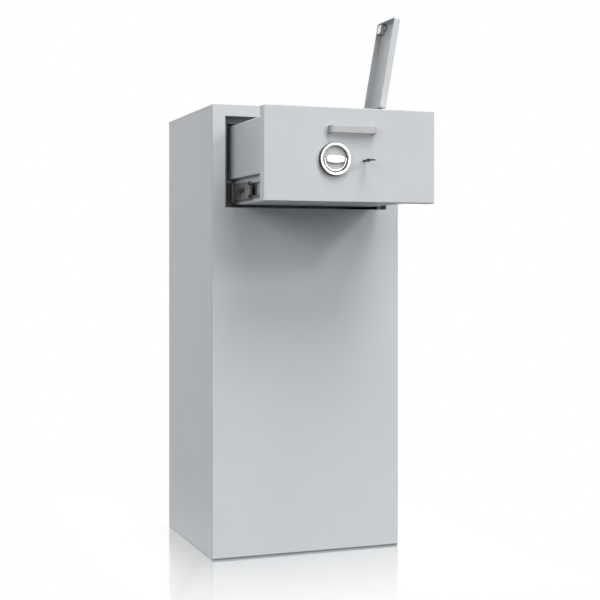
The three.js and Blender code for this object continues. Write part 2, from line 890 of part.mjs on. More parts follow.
function handleRose() {
  const edge = roseInnerEdge;
  const profile = [
    [roseInnerRadius, 0],
    [roseOuterRadius, 0],
    [roseOuterRadius, roseHeight - roseOuterEdge],
    [roseOuterRadius - roseOuterEdge, roseHeight],
    ...arc(roseInnerRadius + edge, roseHeight - edge, edge, 90, 180, 4),
  ];
  return piece("handle_rose", join(turnedY(profile, knobX, frontY - seam, controlZ)), satin);
}

function spindleBush() {
  const inner = spindleRadius + seam;
  const outer = spindleRadius + bushWall;
  const flange = outer + bushFlange;
  const front = panSheet - seam;
  const profile = [
    [inner, -bushFlange],
    [flange, -bushFlange],
    [flange, 0],
    [outer, 0],
    [outer, front],
    [inner, front],
  ];
  return piece("spindle_bush", join(turnedY(profile, knobX, panBackY + seam, controlZ, 24)), brass);
}

const dishY = frontY - seam;
const gripY = dishY - dishThickness - seam;
const bailY = gripY - gripThickness / 2;

function turnDish() {
  const disc = rodY(roseInnerRadius - 2 * seam, knobX, dishY - dishThickness, dishY, controlZ, 36);
  return piece("turn_dish", join(disc), dishMetal);
}

function gripBar() {
  const half = gripLength / 2;
  const steps = 12;
  const upper = Array.from({ length: steps + 1 }, (_, i) => {
    const t = 1 - (2 * i) / steps;
    return [knobX + half * t, controlZ + gripHeight / 2 - ((gripHeight - gripEndHeight) / 2) * t * t];
  });
  const lower = upper.map(([x, z]) => [x, 2 * controlZ - z]).reverse();
  const bar = join(prismY([...upper, ...lower], gripY - gripThickness, gripY));
  const bore = rodX(bailPinRadius + seam, knobX - half - past, knobX + half + past, bailY, controlZ, 12);
  return piece("grip_bar", cut(bar, bore), satin);
}

function bailPin() {
  const reach = bailRadius + bailWidth / 2 - seam;
  const pin = rodX(bailPinRadius, knobX - reach, knobX + reach, bailY, controlZ, 12);
  return piece("bail_pin", join(pin), steel);
}

function foldBail() {
  const loop = ribbon(arc(knobX, controlZ, bailRadius, 180, 360, 20), bailWidth);
  const half = bailWidth / 2;
  const eyes = [-1, 1].map((side) =>
    rodX(
      bailEyeRadius,
      knobX + side * bailRadius - half,
      knobX + side * bailRadius + half,
      bailY,
      controlZ,
      16,
    ),
  );
  const reach = bailRadius + bailWidth;
  const solid = join(prismY(loop, bailY - bailThickness / 2, bailY + bailThickness / 2), ...eyes);
  const bore = rodX(bailPinRadius + seam, knobX - reach, knobX + reach, bailY, controlZ, 12);
  return piece("fold_bail", cut(solid, bore), satin);
}

function handleSpindle() {
  const y1 = barY + pinionWidth / 2 + spindleBeyondPinion;
  return piece("handle_spindle", join(rodY(spindleRadius, knobX, dishY + seam, y1, controlZ, 24)), steel);
}

// Involute pinion, with one tooth on the rack's side
function rackPinion() {
  const baseRadius = pitchRadius * Math.cos(pressureAngle);
  const tipRadius = pitchRadius + pinionModule;
  const rootRadius = pitchRadius - toothDedendum * pinionModule;
  const involute = (angle) => Math.tan(angle) - angle;
  const halfAtPitch = Math.PI / (2 * pinionTeeth) - backlash / 2 / pitchRadius;
  const flankSteps = 4;
  const flank = [];
  for (let i = 0; i <= flankSteps; i += 1) {
    const r = baseRadius + ((tipRadius - baseRadius) * i) / flankSteps;
    flank.push([r, halfAtPitch + involute(pressureAngle) - involute(Math.acos(baseRadius / r))]);
  }
  const rising = [[rootRadius, flank[0][1]], ...flank];
  const outline = [];
  for (let tooth = 0; tooth < pinionTeeth; tooth += 1) {
    const middle = (2 * Math.PI * tooth) / pinionTeeth;
    rising.forEach(([r, a]) => outline.push([r, middle - a]));
    [...rising].reverse().forEach(([r, a]) => outline.push([r, middle + a]));
  }
  const points = outline.map(([r, a]) => [knobX + r * Math.cos(a), controlZ + r * Math.sin(a)]);
  const y0 = barY - pinionWidth / 2;
  const wheel = join(prismY(points, y0, y0 + pinionWidth));
  const bore = rodY(spindleRadius + seam, knobX, y0 - past, y0 + pinionWidth + past, controlZ, 24);
  return piece("rack_pinion", cut(wheel, bore), steel);
}

// Bar that lifts both bolts: an angle with a toothed leg
const rackRoot = rackDedendum * pinionModule;
const rackTip = rackAddendum * pinionModule;
const rackBottom = controlZ - boltThrow - 3 * circularPitch;

function boltBar() {
  const y0 = barY - barSheet / 2;
  const y1 = barY + barSheet / 2;
  const x = boltSpacing / 2 + barOverhang;
  const webZ0 = barTopZ - barWebHeight;
  const slope = Math.tan(pressureAngle);
  const halfTooth = circularPitch / 4 - backlash / 2;
  const teeth = [];
  const count = Math.round((controlZ + 3 * circularPitch - rackBottom) / circularPitch);
  for (let i = 0; i < count; i += 1) {
    const z = controlZ + circularPitch * (2.5 - i);
    teeth.push([rackX + rackRoot, z + halfTooth + rackRoot * slope]);
    teeth.push([rackX - rackTip, z + halfTooth - rackTip * slope]);
    teeth.push([rackX - rackTip, z - halfTooth + rackTip * slope]);
    teeth.push([rackX + rackRoot, z - halfTooth - rackRoot * slope]);
  }
  const outline = [
    [-x, webZ0],
    [rackX + rackRoot, webZ0],
    ...teeth,
    [rackX + rackRoot, rackBottom - pinionModule],
    [legX1, rackBottom - pinionModule],
    [legX1, webZ0],
    [x, webZ0],
    [x, barTopZ],
    [-x, barTopZ],
  ];
  const web = prismY(outline, y0, y1);
  const flange = block(-x, x, y0, boltY + boltRadius, barTopZ - barSheet, barTopZ);
  const depth = lockBoltThrow - lockBoltGap + notchGap;
  const notches = [0, boltThrow].map((drop) =>
    block(
      legX1 - depth,
      legX1 + past,
      y0 - past,
      y1 + past,
      keyZ - drop - lockBoltHeight / 2 - notchGap,
      keyZ - drop + lockBoltHeight / 2 + notchGap,
    ),
  );
  const slotHalf = studRadius + seam;
  const studZ = studPlace();
  const slots = [-1, 1].map((side) =>
    prismY(
      rectangle(
        (side * studSpacing) / 2 - slotHalf,
        studZ - boltThrow - slotHalf,
        (side * studSpacing) / 2 + slotHalf,
        studZ + slotHalf,
        slotHalf - hair,
      ),
      y0 - past,
      y1 + past,
    ),
  );
  return piece("bolt_bar", cut(join(web, flange), ...notches, ...slots), steel);
}

function studPlace() {
  return barTopZ - barSheet - studRadius - 2 * seam;
}

function guideStud(name, side) {
  const x = (side * studSpacing) / 2;
  const z = studPlace();
  const y1 = barY + barSheet / 2 + seam;
  const shank = rodY(studRadius, x, panBackY + seam, y1 + studHeadThickness / 2, z, 16);
  const head = rodY(studHeadRadius, x, y1, y1 + studHeadThickness, z - studHeadRadius + studRadius, 16);
  return piece(name, join(shank, head), steel);
}

function liftBolt(name, side) {
  const x = (side * boltSpacing) / 2;
  const shank = rodZ(boltRadius, x, boltY, barTopZ + seam, boltTopZ - boltNose);
  const nose = new THREE.CylinderGeometry(boltRadius - boltNose, boltRadius, boltNose, 24)
    .rotateX(Math.PI / 2)
    .translate(x, boltY, boltTopZ - boltNose / 2);
  return piece(name, join(shank, nose), satin);
}

function lockCase() {
  const x1 = caseX0 + caseWidth;
  const z0 = keyZ - caseHeight / 2;
  const z1 = z0 + caseHeight;
  const outer = join(prismY(rectangle(caseX0, z0, x1, z1, caseCorner), caseY0, caseY1));
  const w = caseWall;
  const hollow = block(caseX0 + w, x1 - w, caseY0 + w, caseY1 + past, z0 + w, z1 - w);
  const half = lockBoltHeight / 2 + seam;
  const port = block(
    caseX0 - past,
    caseX0 + w + past,
    barY - half,
    barY + half,
    keyZ - half,
    keyZ + half,
  );
  const hole = hubHole(caseY0 - past, caseY0 + w + past);
  return piece("lock_case", cut(outer, hollow, port, hole), zinc);
}

function lockCover() {
  const z0 = keyZ - caseHeight / 2;
  const outline = rectangle(caseX0, z0, caseX0 + caseWidth, z0 + caseHeight, caseCorner);
  return piece("lock_cover", join(prismY(outline, caseY1 + seam, caseY1 + seam + coverSheet)), zinc);
}

function lockBolt() {
  const half = lockBoltHeight / 2;
  const bar = block(
    lockBoltX0,
    lockBoltX0 + lockBoltLength,
    barY - half,
    barY + half,
    keyZ - half,
    keyZ + half,
  );
  return piece("lock_bolt", join(bar), brass);
}

// The hub's nose fills the keyhole and turns with the key
function lockHub() {
  const y0 = caseY0 + caseWall + seam;
  const y1 = caseY1 - seam;
  const reach = keyBitReach + seam;
  const half = keyThickness / 2 + seam;
  const drum = rodY(hubRadius, keyX, y0, y1, keyZ, 24);
  const nose = rodY(hubNoseRadius, keyX, frontY, y1, keyZ, 24);
  const passage = [
    rodY(keyRadius + seam, keyX, frontY - past, y1 + past, keyZ, 16),
    block(keyX - reach, keyX + reach, frontY - past, y1 - past, keyZ - half, keyZ + half),
  ];
  return piece("lock_hub", cut(join(drum, nose), ...passage), paint);
}

function safeKey() {
  const half = keyThickness / 2;
  const tip = frontY + keyDepth;
  const neck = frontY - keyReach + keyBowLength;
  const bowY = neck - keyBowLength / 2;
  const bow = arc(0, 0, 1, 0, 360, 24)
    .slice(0, -1)
    .map(([a, b]) => [keyX + (a * keyBowWidth) / 2, bowY + (b * keyBowLength) / 2]);
  const hole = arc(keyX, bowY - keyHoleForward, keyBowHole, 0, 360, 16).slice(0, -1);
  const shaft = rodY(keyRadius, keyX, neck - keyShaftInBow, tip, keyZ, 16);
  const collar = rodY(keyCollarRadius, keyX, neck, neck + keyCollarLength, keyZ, 16);
  const plate = prismZ(bow, keyZ - half, keyZ + half, [hole]);
  const bits = block(
    keyX - keyBitReach,
    keyX + keyBitReach,
    tip - keyBitLength - keyBitFromTip,
    tip - keyBitFromTip,
    keyZ - half,
    keyZ + half,
  );
  const steps = [-1, 1].flatMap((side) =>
    Array.from({ length: keyWards }, (_, i) => {
      const y = tip - keyBitFromTip - (keyBitLength * (i + 1)) / (keyWards + 1);
      const xs = [keyBitReach - keyWardStep * (i + 1), keyBitReach + past].map((x) => keyX + side * x);
      const [x0, x1] = xs.sort((a, b) => a - b);
      return block(
        x0,
        x1,
        y - keyWardSlot / 2,
        y + keyWardSlot / 2,
        keyZ - half - past,
        keyZ + half + past,
      );
    }),
  );
  const blade = cut(join(bits), ...steps);
  return piece("safe_key", join(shaft, collar, plate).add(blade), darkSteel);
}

// Lid pieces, placed about the hinge line as in the closed lid
function lidPan() {
  const outer = join(prismZ(rectangle(lidX0, lidY0, lidX1, lidY1, lidCorner), lidZ0, lidZ1));
  const s = lidSheet;
  const inside = rectangle(lidX0 + s, lidY0 + s, lidX1 - s, lidY1 - s, lidCorner - s);
  const hollow = prismZ(inside, lidZ0 - past, lidZ1 - s);
  const [x, y] = cylinderPlace();
  const hole = rodZ(lidCylinderRadius + seam, x, y, lidZ1 - s - past, lidZ1 + past);
  return piece("lid_pan", cut(outer, hollow, hole), paint);
}

function knuckleSpan(i) {
  const y0 = lidY0 + hingeEdge;
  const pitch = (lidWidth - 2 * hingeEdge) / knuckles;
  return [y0 + pitch * i + seam / 2, y0 + pitch * (i + 1) - seam / 2];
}

function hingeLeaf(name, plate, own) {
  const all = Array.from({ length: knuckles }, (_, i) => i);
  const mine = all.filter((i) => i % 2 === own);
  const other = all.filter((i) => i % 2 !== own);
  const barrels = mine.map((i) => rodY(hingeRadius, 0, ...knuckleSpan(i), 0, 16));
  const gaps = other.map((i) => {
    const [y0, y1] = knuckleSpan(i);
    return rodY(hingeRadius + seam, 0, y0 - seam, y1 + seam, 0, 16);
  });
  const bore = rodY(hingePinRadius + seam, 0, lidY0, lidY1, 0, 12);
  return piece(name, cut(join(plate).subtract(join(...gaps)).add(join(...barrels)), bore), zinc);
}

function lidLeaf() {
  const plate = block(
    -hingeRadius,
    hingeSheet - hingeRadius,
    lidY0 + hingeEdge,
    lidY1 - hingeEdge,
    lidZ0 + hingeEdge,
    lidZ1 - hingeEdge,
  );
  return hingeLeaf("lid_hinge_leaf", plate, 1);
}

function baseLeaf() {
  const half = hingeSheet / 2;
  const foot = -hingeHeight + seam + half;
  const path = [
    [hingeRadius - half, 0],
    [hingeRadius - half, foot],
    [hingeFromSide - leafFromEdge, foot],
  ];
  const plate = prismY(ribbon(path, hingeSheet), lidY0 + hingeEdge, lidY1 - hingeEdge);
  return hingeLeaf("base_hinge_leaf", plate, 0);
}

function hingePin() {
  const pin = rodY(hingePinRadius, 0, lidY0 + hingeEdge, lidY1 - hingeEdge, 0, 12);
  return piece("lid_hinge_pin", join(pin), steel);
}

function lidLockCase() {
  const top = lidZ1 - lidSheet - seam;
  const outer = join(block(lidCaseX0, lidCaseX1, lidCaseY0, lidCaseY1, lidZ0 + lidCaseFloor, top));
  const halfY = lidBoltWidth / 2 + seam;
  const halfZ = lidBoltHeight / 2 + seam;
  const port = block(
    lidCaseX1 - lidBoltLength - past,
    lidCaseX1 + past,
    lidBoltY - halfY,
    lidBoltY + halfY,
    lidBoltZ - halfZ,
    lidBoltZ + halfZ,
  );
  return piece("lid_lock_case", cut(outer, port), dishMetal);
}

function lidLockBolt() {
  const x1 = lidCaseX1 - seam;
  const halfY = lidBoltWidth / 2;
  const halfZ = lidBoltHeight / 2;
  const bar = [
    [x1 - lidBoltLength, lidBoltZ - halfZ],
    [x1, lidBoltZ - halfZ],
    [x1, lidBoltZ],
    [x1 - halfZ, lidBoltZ + halfZ],
    [x1 - lidBoltLength, lidBoltZ + halfZ],
  ];
  return piece("lid_lock_bolt", join(prismY(bar, lidBoltY - halfY, lidBoltY + halfY)), brass);
}

function cylinderPlace() {
  return [lidX0 + lidCylinderFromEnd, lidCaseY0 - lidCylinderRadius - lidCylinderFromCase];
}

function lidLockCylinder() {
  const [x, y] = cylinderPlace();
  const seat = lidZ1 + seam;
  const top = seat + lidCylinderHeadHeight;
  const body = rodZ(lidCylinderRadius, x, y, lidZ1 - lidSheet - lidCylinderDepth, (seat + top) / 2);
  const head = rodZ(lidCylinderHead, x, y, seat, top);
  const slot = block(
    x - lidKeySlotLength / 2,
    x + lidKeySlotLength / 2,
    y - lidKeySlotWidth / 2,
    y + lidKeySlotWidth / 2,
    lidZ1 - lidCylinderDepth / 2,
    top + past,
  );
  return piece("lid_lock_cylinder", cut(join(body, head), slot), steel);
}

// Assembly: one group for each set of pieces that moves together
function groupOf(meshes) {
  const group = new THREE.Group();
  group.add(...meshes);
  return group;
}

const cabinet = groupOf([
  cabinetShell(),
  frontPlate(),
  rebateFrame(),
  topPlate(),
  depositCollar(),
  basePlate(),
  drawerDeck(),
  slideBracket("slide_bracket_left", -1),
  slideBracket("slide_bracket_right", 1),
  outerMember("slide_outer_left", -1),
  outerMember("slide_outer_right", 1),
]);

const hingeFrame = groupOf([baseLeaf(), hingePin()]);
hingeFrame.position.set(hingeX, 0, hingeZ);

const lid = groupOf([lidPan(), lidLeaf(), lidLockCase(), lidLockBolt(), lidLockCylinder()]);
lid.position.copy(hingeFrame.position);
lid.rotation.y = THREE.MathUtils.degToRad(lidOpenAngle);

const middleMembers = groupOf([
  middleMember("slide_middle_left", -1),
  middleMember("slide_middle_right", 1),
  slideBuffer("slide_buffer_left", -1),
  slideBuffer("slide_buffer_right", 1),
]);
middleMembers.position.y = -drawerTravel / 2;

const outerCages = groupOf([outerCage("outer_cage_left", -1), outerCage("outer_cage_right", 1)]);
outerCages.position.y = -drawerTravel / 4;

const innerCages = groupOf([innerCage("inner_cage_left", -1), innerCage("inner_cage_right", 1)]);
innerCages.position.y = (-drawerTravel * 3) / 4;

const [pullX0, pullX1] = pullPosts();
const drawer = groupOf([
  drawerFrontPan(),
  drawerTub(),
  drawerBack(),
  boltworkCover(),
  innerMember("slide_inner_left", -1),
  innerMember("slide_inner_right", 1),
  pullHandle(),
  pullScrew("pull_screw_left", pullX0),
  pullScrew("pull_screw_right", pullX1),
  handleRose(),
  spindleBush(),
  guideStud("guide_stud_left", -1),
  guideStud("guide_stud_right", 1),
  lockCase(),
  lockCover(),
  groupOf([turnDish(), gripBar(), bailPin(), handleSpindle(), rackPinion(), foldBail()]),
  groupOf([boltBar(), liftBolt("bolt_left", -1), liftBolt("bolt_right", 1)]),
  groupOf([lockBolt(), lockHub(), safeKey()]),
]);
drawer.position.y = -drawerTravel;

const depositSafe = groupOf([
  cabinet,
  hingeFrame,
  lid,
  middleMembers,
  outerCages,
  innerCages,
  drawer,
]);

export default depositSafe;
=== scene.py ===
# %% [markdown]
# A deposit safe of folded sheet steel, with its drawer pulled out and its deposit lid up.
# The engineering model is already there: every piece has its real place, and some of them move.
# This lesson gives each piece the surface that a camera needs. First the fixed model is loaded,
# and its outer box is kept, because nothing made here may reach past it.

# %% Load the frame
import json
from math import cos, pi, radians, sin

import bmesh
import bpy
from mathutils import Matrix, Vector


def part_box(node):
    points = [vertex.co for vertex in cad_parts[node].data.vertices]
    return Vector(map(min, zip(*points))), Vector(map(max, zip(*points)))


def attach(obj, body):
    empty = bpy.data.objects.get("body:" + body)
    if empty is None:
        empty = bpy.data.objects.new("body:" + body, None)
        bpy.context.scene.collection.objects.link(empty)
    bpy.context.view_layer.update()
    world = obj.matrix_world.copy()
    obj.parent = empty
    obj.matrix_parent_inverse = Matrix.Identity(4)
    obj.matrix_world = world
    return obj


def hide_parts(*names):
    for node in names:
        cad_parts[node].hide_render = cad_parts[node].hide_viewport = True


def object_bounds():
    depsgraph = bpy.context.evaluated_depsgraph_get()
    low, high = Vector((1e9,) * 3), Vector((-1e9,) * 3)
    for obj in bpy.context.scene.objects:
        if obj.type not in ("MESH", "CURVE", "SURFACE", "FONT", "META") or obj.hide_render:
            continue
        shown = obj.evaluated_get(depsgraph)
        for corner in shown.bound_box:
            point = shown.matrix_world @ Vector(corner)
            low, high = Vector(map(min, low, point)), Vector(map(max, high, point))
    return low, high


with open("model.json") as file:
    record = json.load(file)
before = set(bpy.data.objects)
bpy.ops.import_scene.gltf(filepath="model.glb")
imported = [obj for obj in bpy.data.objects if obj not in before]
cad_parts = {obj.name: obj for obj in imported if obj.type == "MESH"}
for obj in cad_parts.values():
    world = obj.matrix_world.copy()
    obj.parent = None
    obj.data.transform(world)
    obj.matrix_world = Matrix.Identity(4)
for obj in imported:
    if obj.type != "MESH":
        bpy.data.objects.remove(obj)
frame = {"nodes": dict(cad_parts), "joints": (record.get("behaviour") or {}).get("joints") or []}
cad_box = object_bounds()

# %% [markdown]
# The photograph was taken from the left of the safe, level, from a little above half its height.
# A level camera keeps upright edges upright. The horizon lies above the middle of the picture, and
# a small vertical shift puts it there without tilting the camera.

# %% Camera
CAMERA_PLACE = Vector((-0.991, -2.8399, 0.657))
CAMERA_TURN = radians(20.186)
FOCAL_PIXELS = 1254.85
PICTURE_PIXELS = 600
HORIZON_PIXELS = 39.44
SENSOR_WIDTH = 36

scene = bpy.context.scene
camera_data = bpy.data.cameras.new("camera")
camera_data.sensor_width = SENSOR_WIDTH
camera_data.lens = SENSOR_WIDTH * FOCAL_PIXELS / PICTURE_PIXELS
camera_data.shift_y = -HORIZON_PIXELS / PICTURE_PIXELS
camera = bpy.data.objects.new("camera", camera_data)
camera.location = CAMERA_PLACE
camera.rotation_euler = (pi / 2, 0, -CAMERA_TURN)
scene.collection.objects.link(camera)
scene.camera = camera
scene.view_settings.view_transform = "Standard"
print("lens:", round(camera_data.lens, 1), "mm")

# %% [markdown]
# Materials come next. A material is a small graph of nodes, and the helpers below make what all of
# them share: a shader, object coordinates, which are metres on every piece, and noises on those
# coordinates, whose grain therefore has a real size. A noise stays mostly between 0.3 and 0.7,
# which is the range that remap spreads out. Fine grain goes through a bump node.

# %% A material with grain
FINISHES = {}
NOISE_LOW = 0.3
NOISE_HIGH = 0.7


def start_finish(slot, metallic):
    material = bpy.data.materials.new(slot)
    material.use_nodes = True
    tree = material.node_tree
    tree.nodes["Principled BSDF"].inputs["Metallic"].default_value = metallic
    tree.nodes.new("ShaderNodeTexCoord").name = "Texture Coordinate"
    FINISHES[slot] = material
    return tree, tree.nodes["Principled BSDF"]


def object_place(tree):
    return tree.nodes["Texture Coordinate"].outputs["Object"]


def noise(tree, scale, detail, stretch=None):
    """A noise over the piece, drawn out along one axis where stretch is given."""
    node = tree.nodes.new("ShaderNodeTexNoise")
    node.inputs["Scale"].default_value = scale
    node.inputs["Detail"].default_value = detail
    place = object_place(tree)
    if stretch:
        mapping = tree.nodes.new("ShaderNodeMapping")
        mapping.inputs["Scale"].default_value = stretch
        tree.links.new(place, mapping.inputs["Vector"])
        place = mapping.outputs["Vector"]
    tree.links.new(place, node.inputs["Vector"])
    return node.outputs["Fac"]


def remap(tree, value, low, high, start=NOISE_LOW, end=NOISE_HIGH):
    node = tree.nodes.new("ShaderNodeMapRange")
    node.inputs["From Min"].default_value = start
    node.inputs["From Max"].default_value = end
    node.inputs["To Min"].default_value = low
    node.inputs["To Max"].default_value = high
    tree.links.new(value, node.inputs["Value"])
    return node.outputs["Result"]


def set_colour(tree, factor, dark, light):
    """Lets the colour go from a dark tone to a light one."""
    node = tree.nodes.new("ShaderNodeMix")
    node.data_type = "RGBA"
    node.inputs["A"].default_value = (*dark, 1)
    node.inputs["B"].default_value = (*light, 1)
    tree.links.new(factor, node.inputs["Factor"])
    tree.links.new(node.outputs["Result"], tree.nodes["Principled BSDF"].inputs["Base Color"])


def set_roughness(tree, value, low, high):
    rough = remap(tree, value, low, high)
    tree.links.new(rough, tree.nodes["Principled BSDF"].inputs["Roughness"])


def add_bump(tree, height, distance):
    shader = tree.nodes["Principled BSDF"]
    node = tree.nodes.new("ShaderNodeBump")
    node.inputs["Distance"].default_value = distance
    if shader.inputs["Normal"].is_linked:
        tree.links.new(shader.inputs["Normal"].links[0].from_socket, node.inputs["Normal"])
    tree.links.new(height, node.inputs["Height"])
    tree.links.new(node.outputs["Normal"], shader.inputs["Normal"])


print("material helpers ready")

# %% [markdown]
# Powder coat is baked dust. It flows into a film with a faint orange peel about a millimetre
# across, and a finer grain under it. The grey is nearly even: only a broad, very weak drift of
# tone keeps a big flat door from looking like a flat colour. What lies behind the aperture is
# painted a dark grey, which is a painted shade for the gaps around the drawer, and the lid's
# inside a slightly darker grey than its outside, also a painted shade. Each noise is given by its
# scale and its detail, and each gloss by its lowest and highest roughness.

# %% Powder coat
DRIFT = (5.0, 3.0)
WEAR = (23.0, 4.0)
PEEL = (750.0, 2.0)
GRAIN = (2600.0, 1.0)
COAT_SPECULAR = 0.4
SATIN = (0.42, 0.5)
MATT = (0.5, 0.6)
THICK_PEEL = 0.0003
THIN_PEEL = 0.00016


def powder_coat(slot, dark, light, gloss, peel):
    tree, shader = start_finish(slot, 0.0)
    set_colour(tree, remap(tree, noise(tree, *DRIFT), 0.0, 1.0), dark, light)
    set_roughness(tree, noise(tree, *WEAR), *gloss)
    shader.inputs["Specular IOR Level"].default_value = COAT_SPECULAR
    add_bump(tree, noise(tree, *PEEL), peel)
    add_bump(tree, noise(tree, *GRAIN), peel / 4)


powder_coat("cabinet_paint", (0.585, 0.612, 0.632), (0.602, 0.629, 0.648), SATIN, THICK_PEEL)
# painted shade: this dark grey stands in for the shade behind the aperture
powder_coat("inner_paint", (0.2, 0.205, 0.21), (0.23, 0.235, 0.24), MATT, THIN_PEEL)
# painted shade: the lid's inside is a darker copy of the outer grey
powder_coat("lid_inside_painted_shade", (0.42, 0.435, 0.445), (0.44, 0.455, 0.465), MATT, THIN_PEEL)
print("coats:", list(FINISHES))

# %% [markdown]
# The bare metals differ in their grain. Zinc plate has a cloudy bloom, and on the middle slide
# members it is painted darker, a painted shade. Machined steel and satin chrome are brushed, which
# is a noise stretched along one axis by a mapping node, because a stretched noise breaks up as real
# brush marks do. A row of the table gives a metal's two tones, its gloss, how metallic it is, and
# the way and the depth of its lines.

# %% Brushed and plated metals
CLOUD = (60.0, 4.0)
BRUSH = (900.0, 3.0)
ALONG_X = (0.04, 1.0, 1.0)
ALONG_Y = (1.0, 0.04, 1.0)
PLAIN = 0.00002
FINE = 0.000015
FINEST = 0.000008
METALS = {
    "zinc": ((0.26, 0.27, 0.27), (0.4, 0.41, 0.41), (0.28, 0.42), 0.8, ALONG_Y, PLAIN),
    # painted shade: the darkened zinc of the middle slide members
    "zinc_painted_shade": ((0.12, 0.12, 0.12), (0.33, 0.33, 0.335), (0.3, 0.42), 0.85, ALONG_Y, PLAIN),
    "steel": ((0.36, 0.37, 0.38), (0.46, 0.47, 0.48), (0.3, 0.45), 1.0, ALONG_Y, PLAIN),
    "dark_steel": ((0.02, 0.02, 0.022), (0.085, 0.085, 0.09), (0.3, 0.45), 0.85, ALONG_Y, PLAIN),
    "satin_chrome": ((0.7, 0.71, 0.72), (0.78, 0.79, 0.8), (0.15, 0.22), 0.95, ALONG_X, FINEST),
    "grip_metal": ((0.36, 0.355, 0.36), (0.42, 0.41, 0.42), (0.42, 0.52), 0.35, ALONG_X, FINE),
    "brass": ((0.56, 0.42, 0.2), (0.68, 0.53, 0.29), (0.28, 0.4), 1.0, ALONG_X, PLAIN),
}


def brushed_metal(slot, dark, light, gloss, metallic, stretch, depth):
    tree, _ = start_finish(slot, metallic)
    set_colour(tree, remap(tree, noise(tree, *CLOUD), 0.0, 1.0), dark, light)
    lines = noise(tree, *BRUSH, stretch)
    set_roughness(tree, lines, *gloss)
    add_bump(tree, lines, depth)


for slot, looks in METALS.items():
    brushed_metal(slot, *looks)
print("metals:", list(METALS))

# %% [markdown]
# The dish behind the grip bar is stippled, so that it doesn't glare: the cells of a Voronoi
# pattern stand up as tiny grains, which is cheaper than modelling them. Its colour is darker down
# in the pits between the grains, a painted shade. The slides' two buffers are moulded from black
# plastic, which only needs a fine, dull grain, and the same black makes the ring's seat, which is
# a painted shade.

# %% Stippled metal and black plastic
STIPPLE_METALLIC = 0.55
STIPPLE_SCALE = 1100.0
STIPPLE_REACH = 0.8
STIPPLE_HEIGHT = 0.0002
STIPPLE_ROUGHNESS = 0.5
PLASTIC_DRIFT = (90.0, 3.0)
PLASTIC_WEAR = (400.0, 2.0)
PLASTIC_GRAIN = (1800.0, 1.0)
PLASTIC_GLOSS = (0.45, 0.6)
PLASTIC_HEIGHT = 0.00003


def stippled_metal(slot, dark, light):
    tree, shader = start_finish(slot, STIPPLE_METALLIC)
    cells = tree.nodes.new("ShaderNodeTexVoronoi")
    cells.inputs["Scale"].default_value = STIPPLE_SCALE
    tree.links.new(object_place(tree), cells.inputs["Vector"])
    height = remap(tree, cells.outputs["Distance"], 1.0, 0.0, 0.0, STIPPLE_REACH)
    # painted shade: the colour darkens down in the pits between the grains
    set_colour(tree, height, dark, light)
    shader.inputs["Roughness"].default_value = STIPPLE_ROUGHNESS
    add_bump(tree, height, STIPPLE_HEIGHT)


def moulded_plastic(slot, dark, light):
    tree, _ = start_finish(slot, 0.0)
    set_colour(tree, remap(tree, noise(tree, *PLASTIC_DRIFT), 0.0, 1.0), dark, light)
    set_roughness(tree, noise(tree, *PLASTIC_WEAR), *PLASTIC_GLOSS)
    add_bump(tree, noise(tree, *PLASTIC_GRAIN), PLASTIC_HEIGHT)


stippled_metal("dish_metal", (0.34, 0.345, 0.35), (0.6, 0.61, 0.615))
moulded_plastic("black_plastic", (0.009, 0.009, 0.01), (0.018, 0.018, 0.02))
print("finishes:", sorted(FINISHES))

# %% [markdown]
# Every piece ends the same way, so that is one function. The bmesh becomes a mesh, its faces are
# shaded smooth up to a given angle, and a weighted-normal modifier keeps the big flat faces flat
# beside their rounded edges. The piece then rides on its body and hides the plain node that it
# stands for. Its finish has the name of its slot, except where a part of it looks different.

# %% Finish a piece
SMOOTH_ANGLE = 38
FACE_WEIGHT = 100


def box_of(piece):
    corners = [Vector(corner) for corner in piece.bound_box]
    low = Vector([min(c[i] for c in corners) for i in range(3)])
    high = Vector([max(c[i] for c in corners) for i in range(3)])
    return low, high


def finish_piece(name, bm, body, slot, replaces=(), finish=None):
    for face in bm.faces:
        face.smooth = True
    for edge in bm.edges:
        if len(edge.link_faces) == 2:
            edge.smooth = edge.calc_face_angle() < radians(SMOOTH_ANGLE)
    mesh = bpy.data.meshes.new(name)
    bm.to_mesh(mesh)
    bm.free()
    mesh.materials.append(FINISHES[finish or slot])
    piece = bpy.data.objects.new(name, mesh)
    scene.collection.objects.link(piece)
    even = piece.modifiers.new("even shading", "WEIGHTED_NORMAL")
    even.keep_sharp = True
    even.weight = FACE_WEIGHT
    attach(piece, body)
    if replaces:
        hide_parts(*replaces)
    size = [round(1000 * (high - low)) for low, high in zip(*box_of(piece))]
    print(f"{name}: {len(mesh.polygons)} faces, {size} mm")


print("faces shade smooth up to", SMOOTH_ANGLE, "degrees")

# %% [markdown]
# A few operators do most of the sheet-metal work. A loop of vertices is rounded with a vertex
# bevel. A face with holes is filled from its loops. A fold is an edge bevel, and the sheet gets
# its thickness last, with solidify, which works on an open surface whose normals agree.

# %% Draw loops and rods
CIRCLE_STEPS = 32


def shift(bm, x, y, z):
    bmesh.ops.translate(bm, verts=bm.verts, vec=(x, y, z))


def stand_up(bm):
    """Turns what was drawn in the XY plane to face the user, in the XZ plane."""
    bmesh.ops.rotate(bm, verts=bm.verts, matrix=Matrix.Rotation(pi / 2, 3, "X"))


def round_corners(bm, verts, radius, segments):
    bmesh.ops.bevel(
        bm,
        geom=verts,
        offset=radius,
        affect="VERTICES",
        segments=segments,
        profile=0.5,
        material=-1,
    )


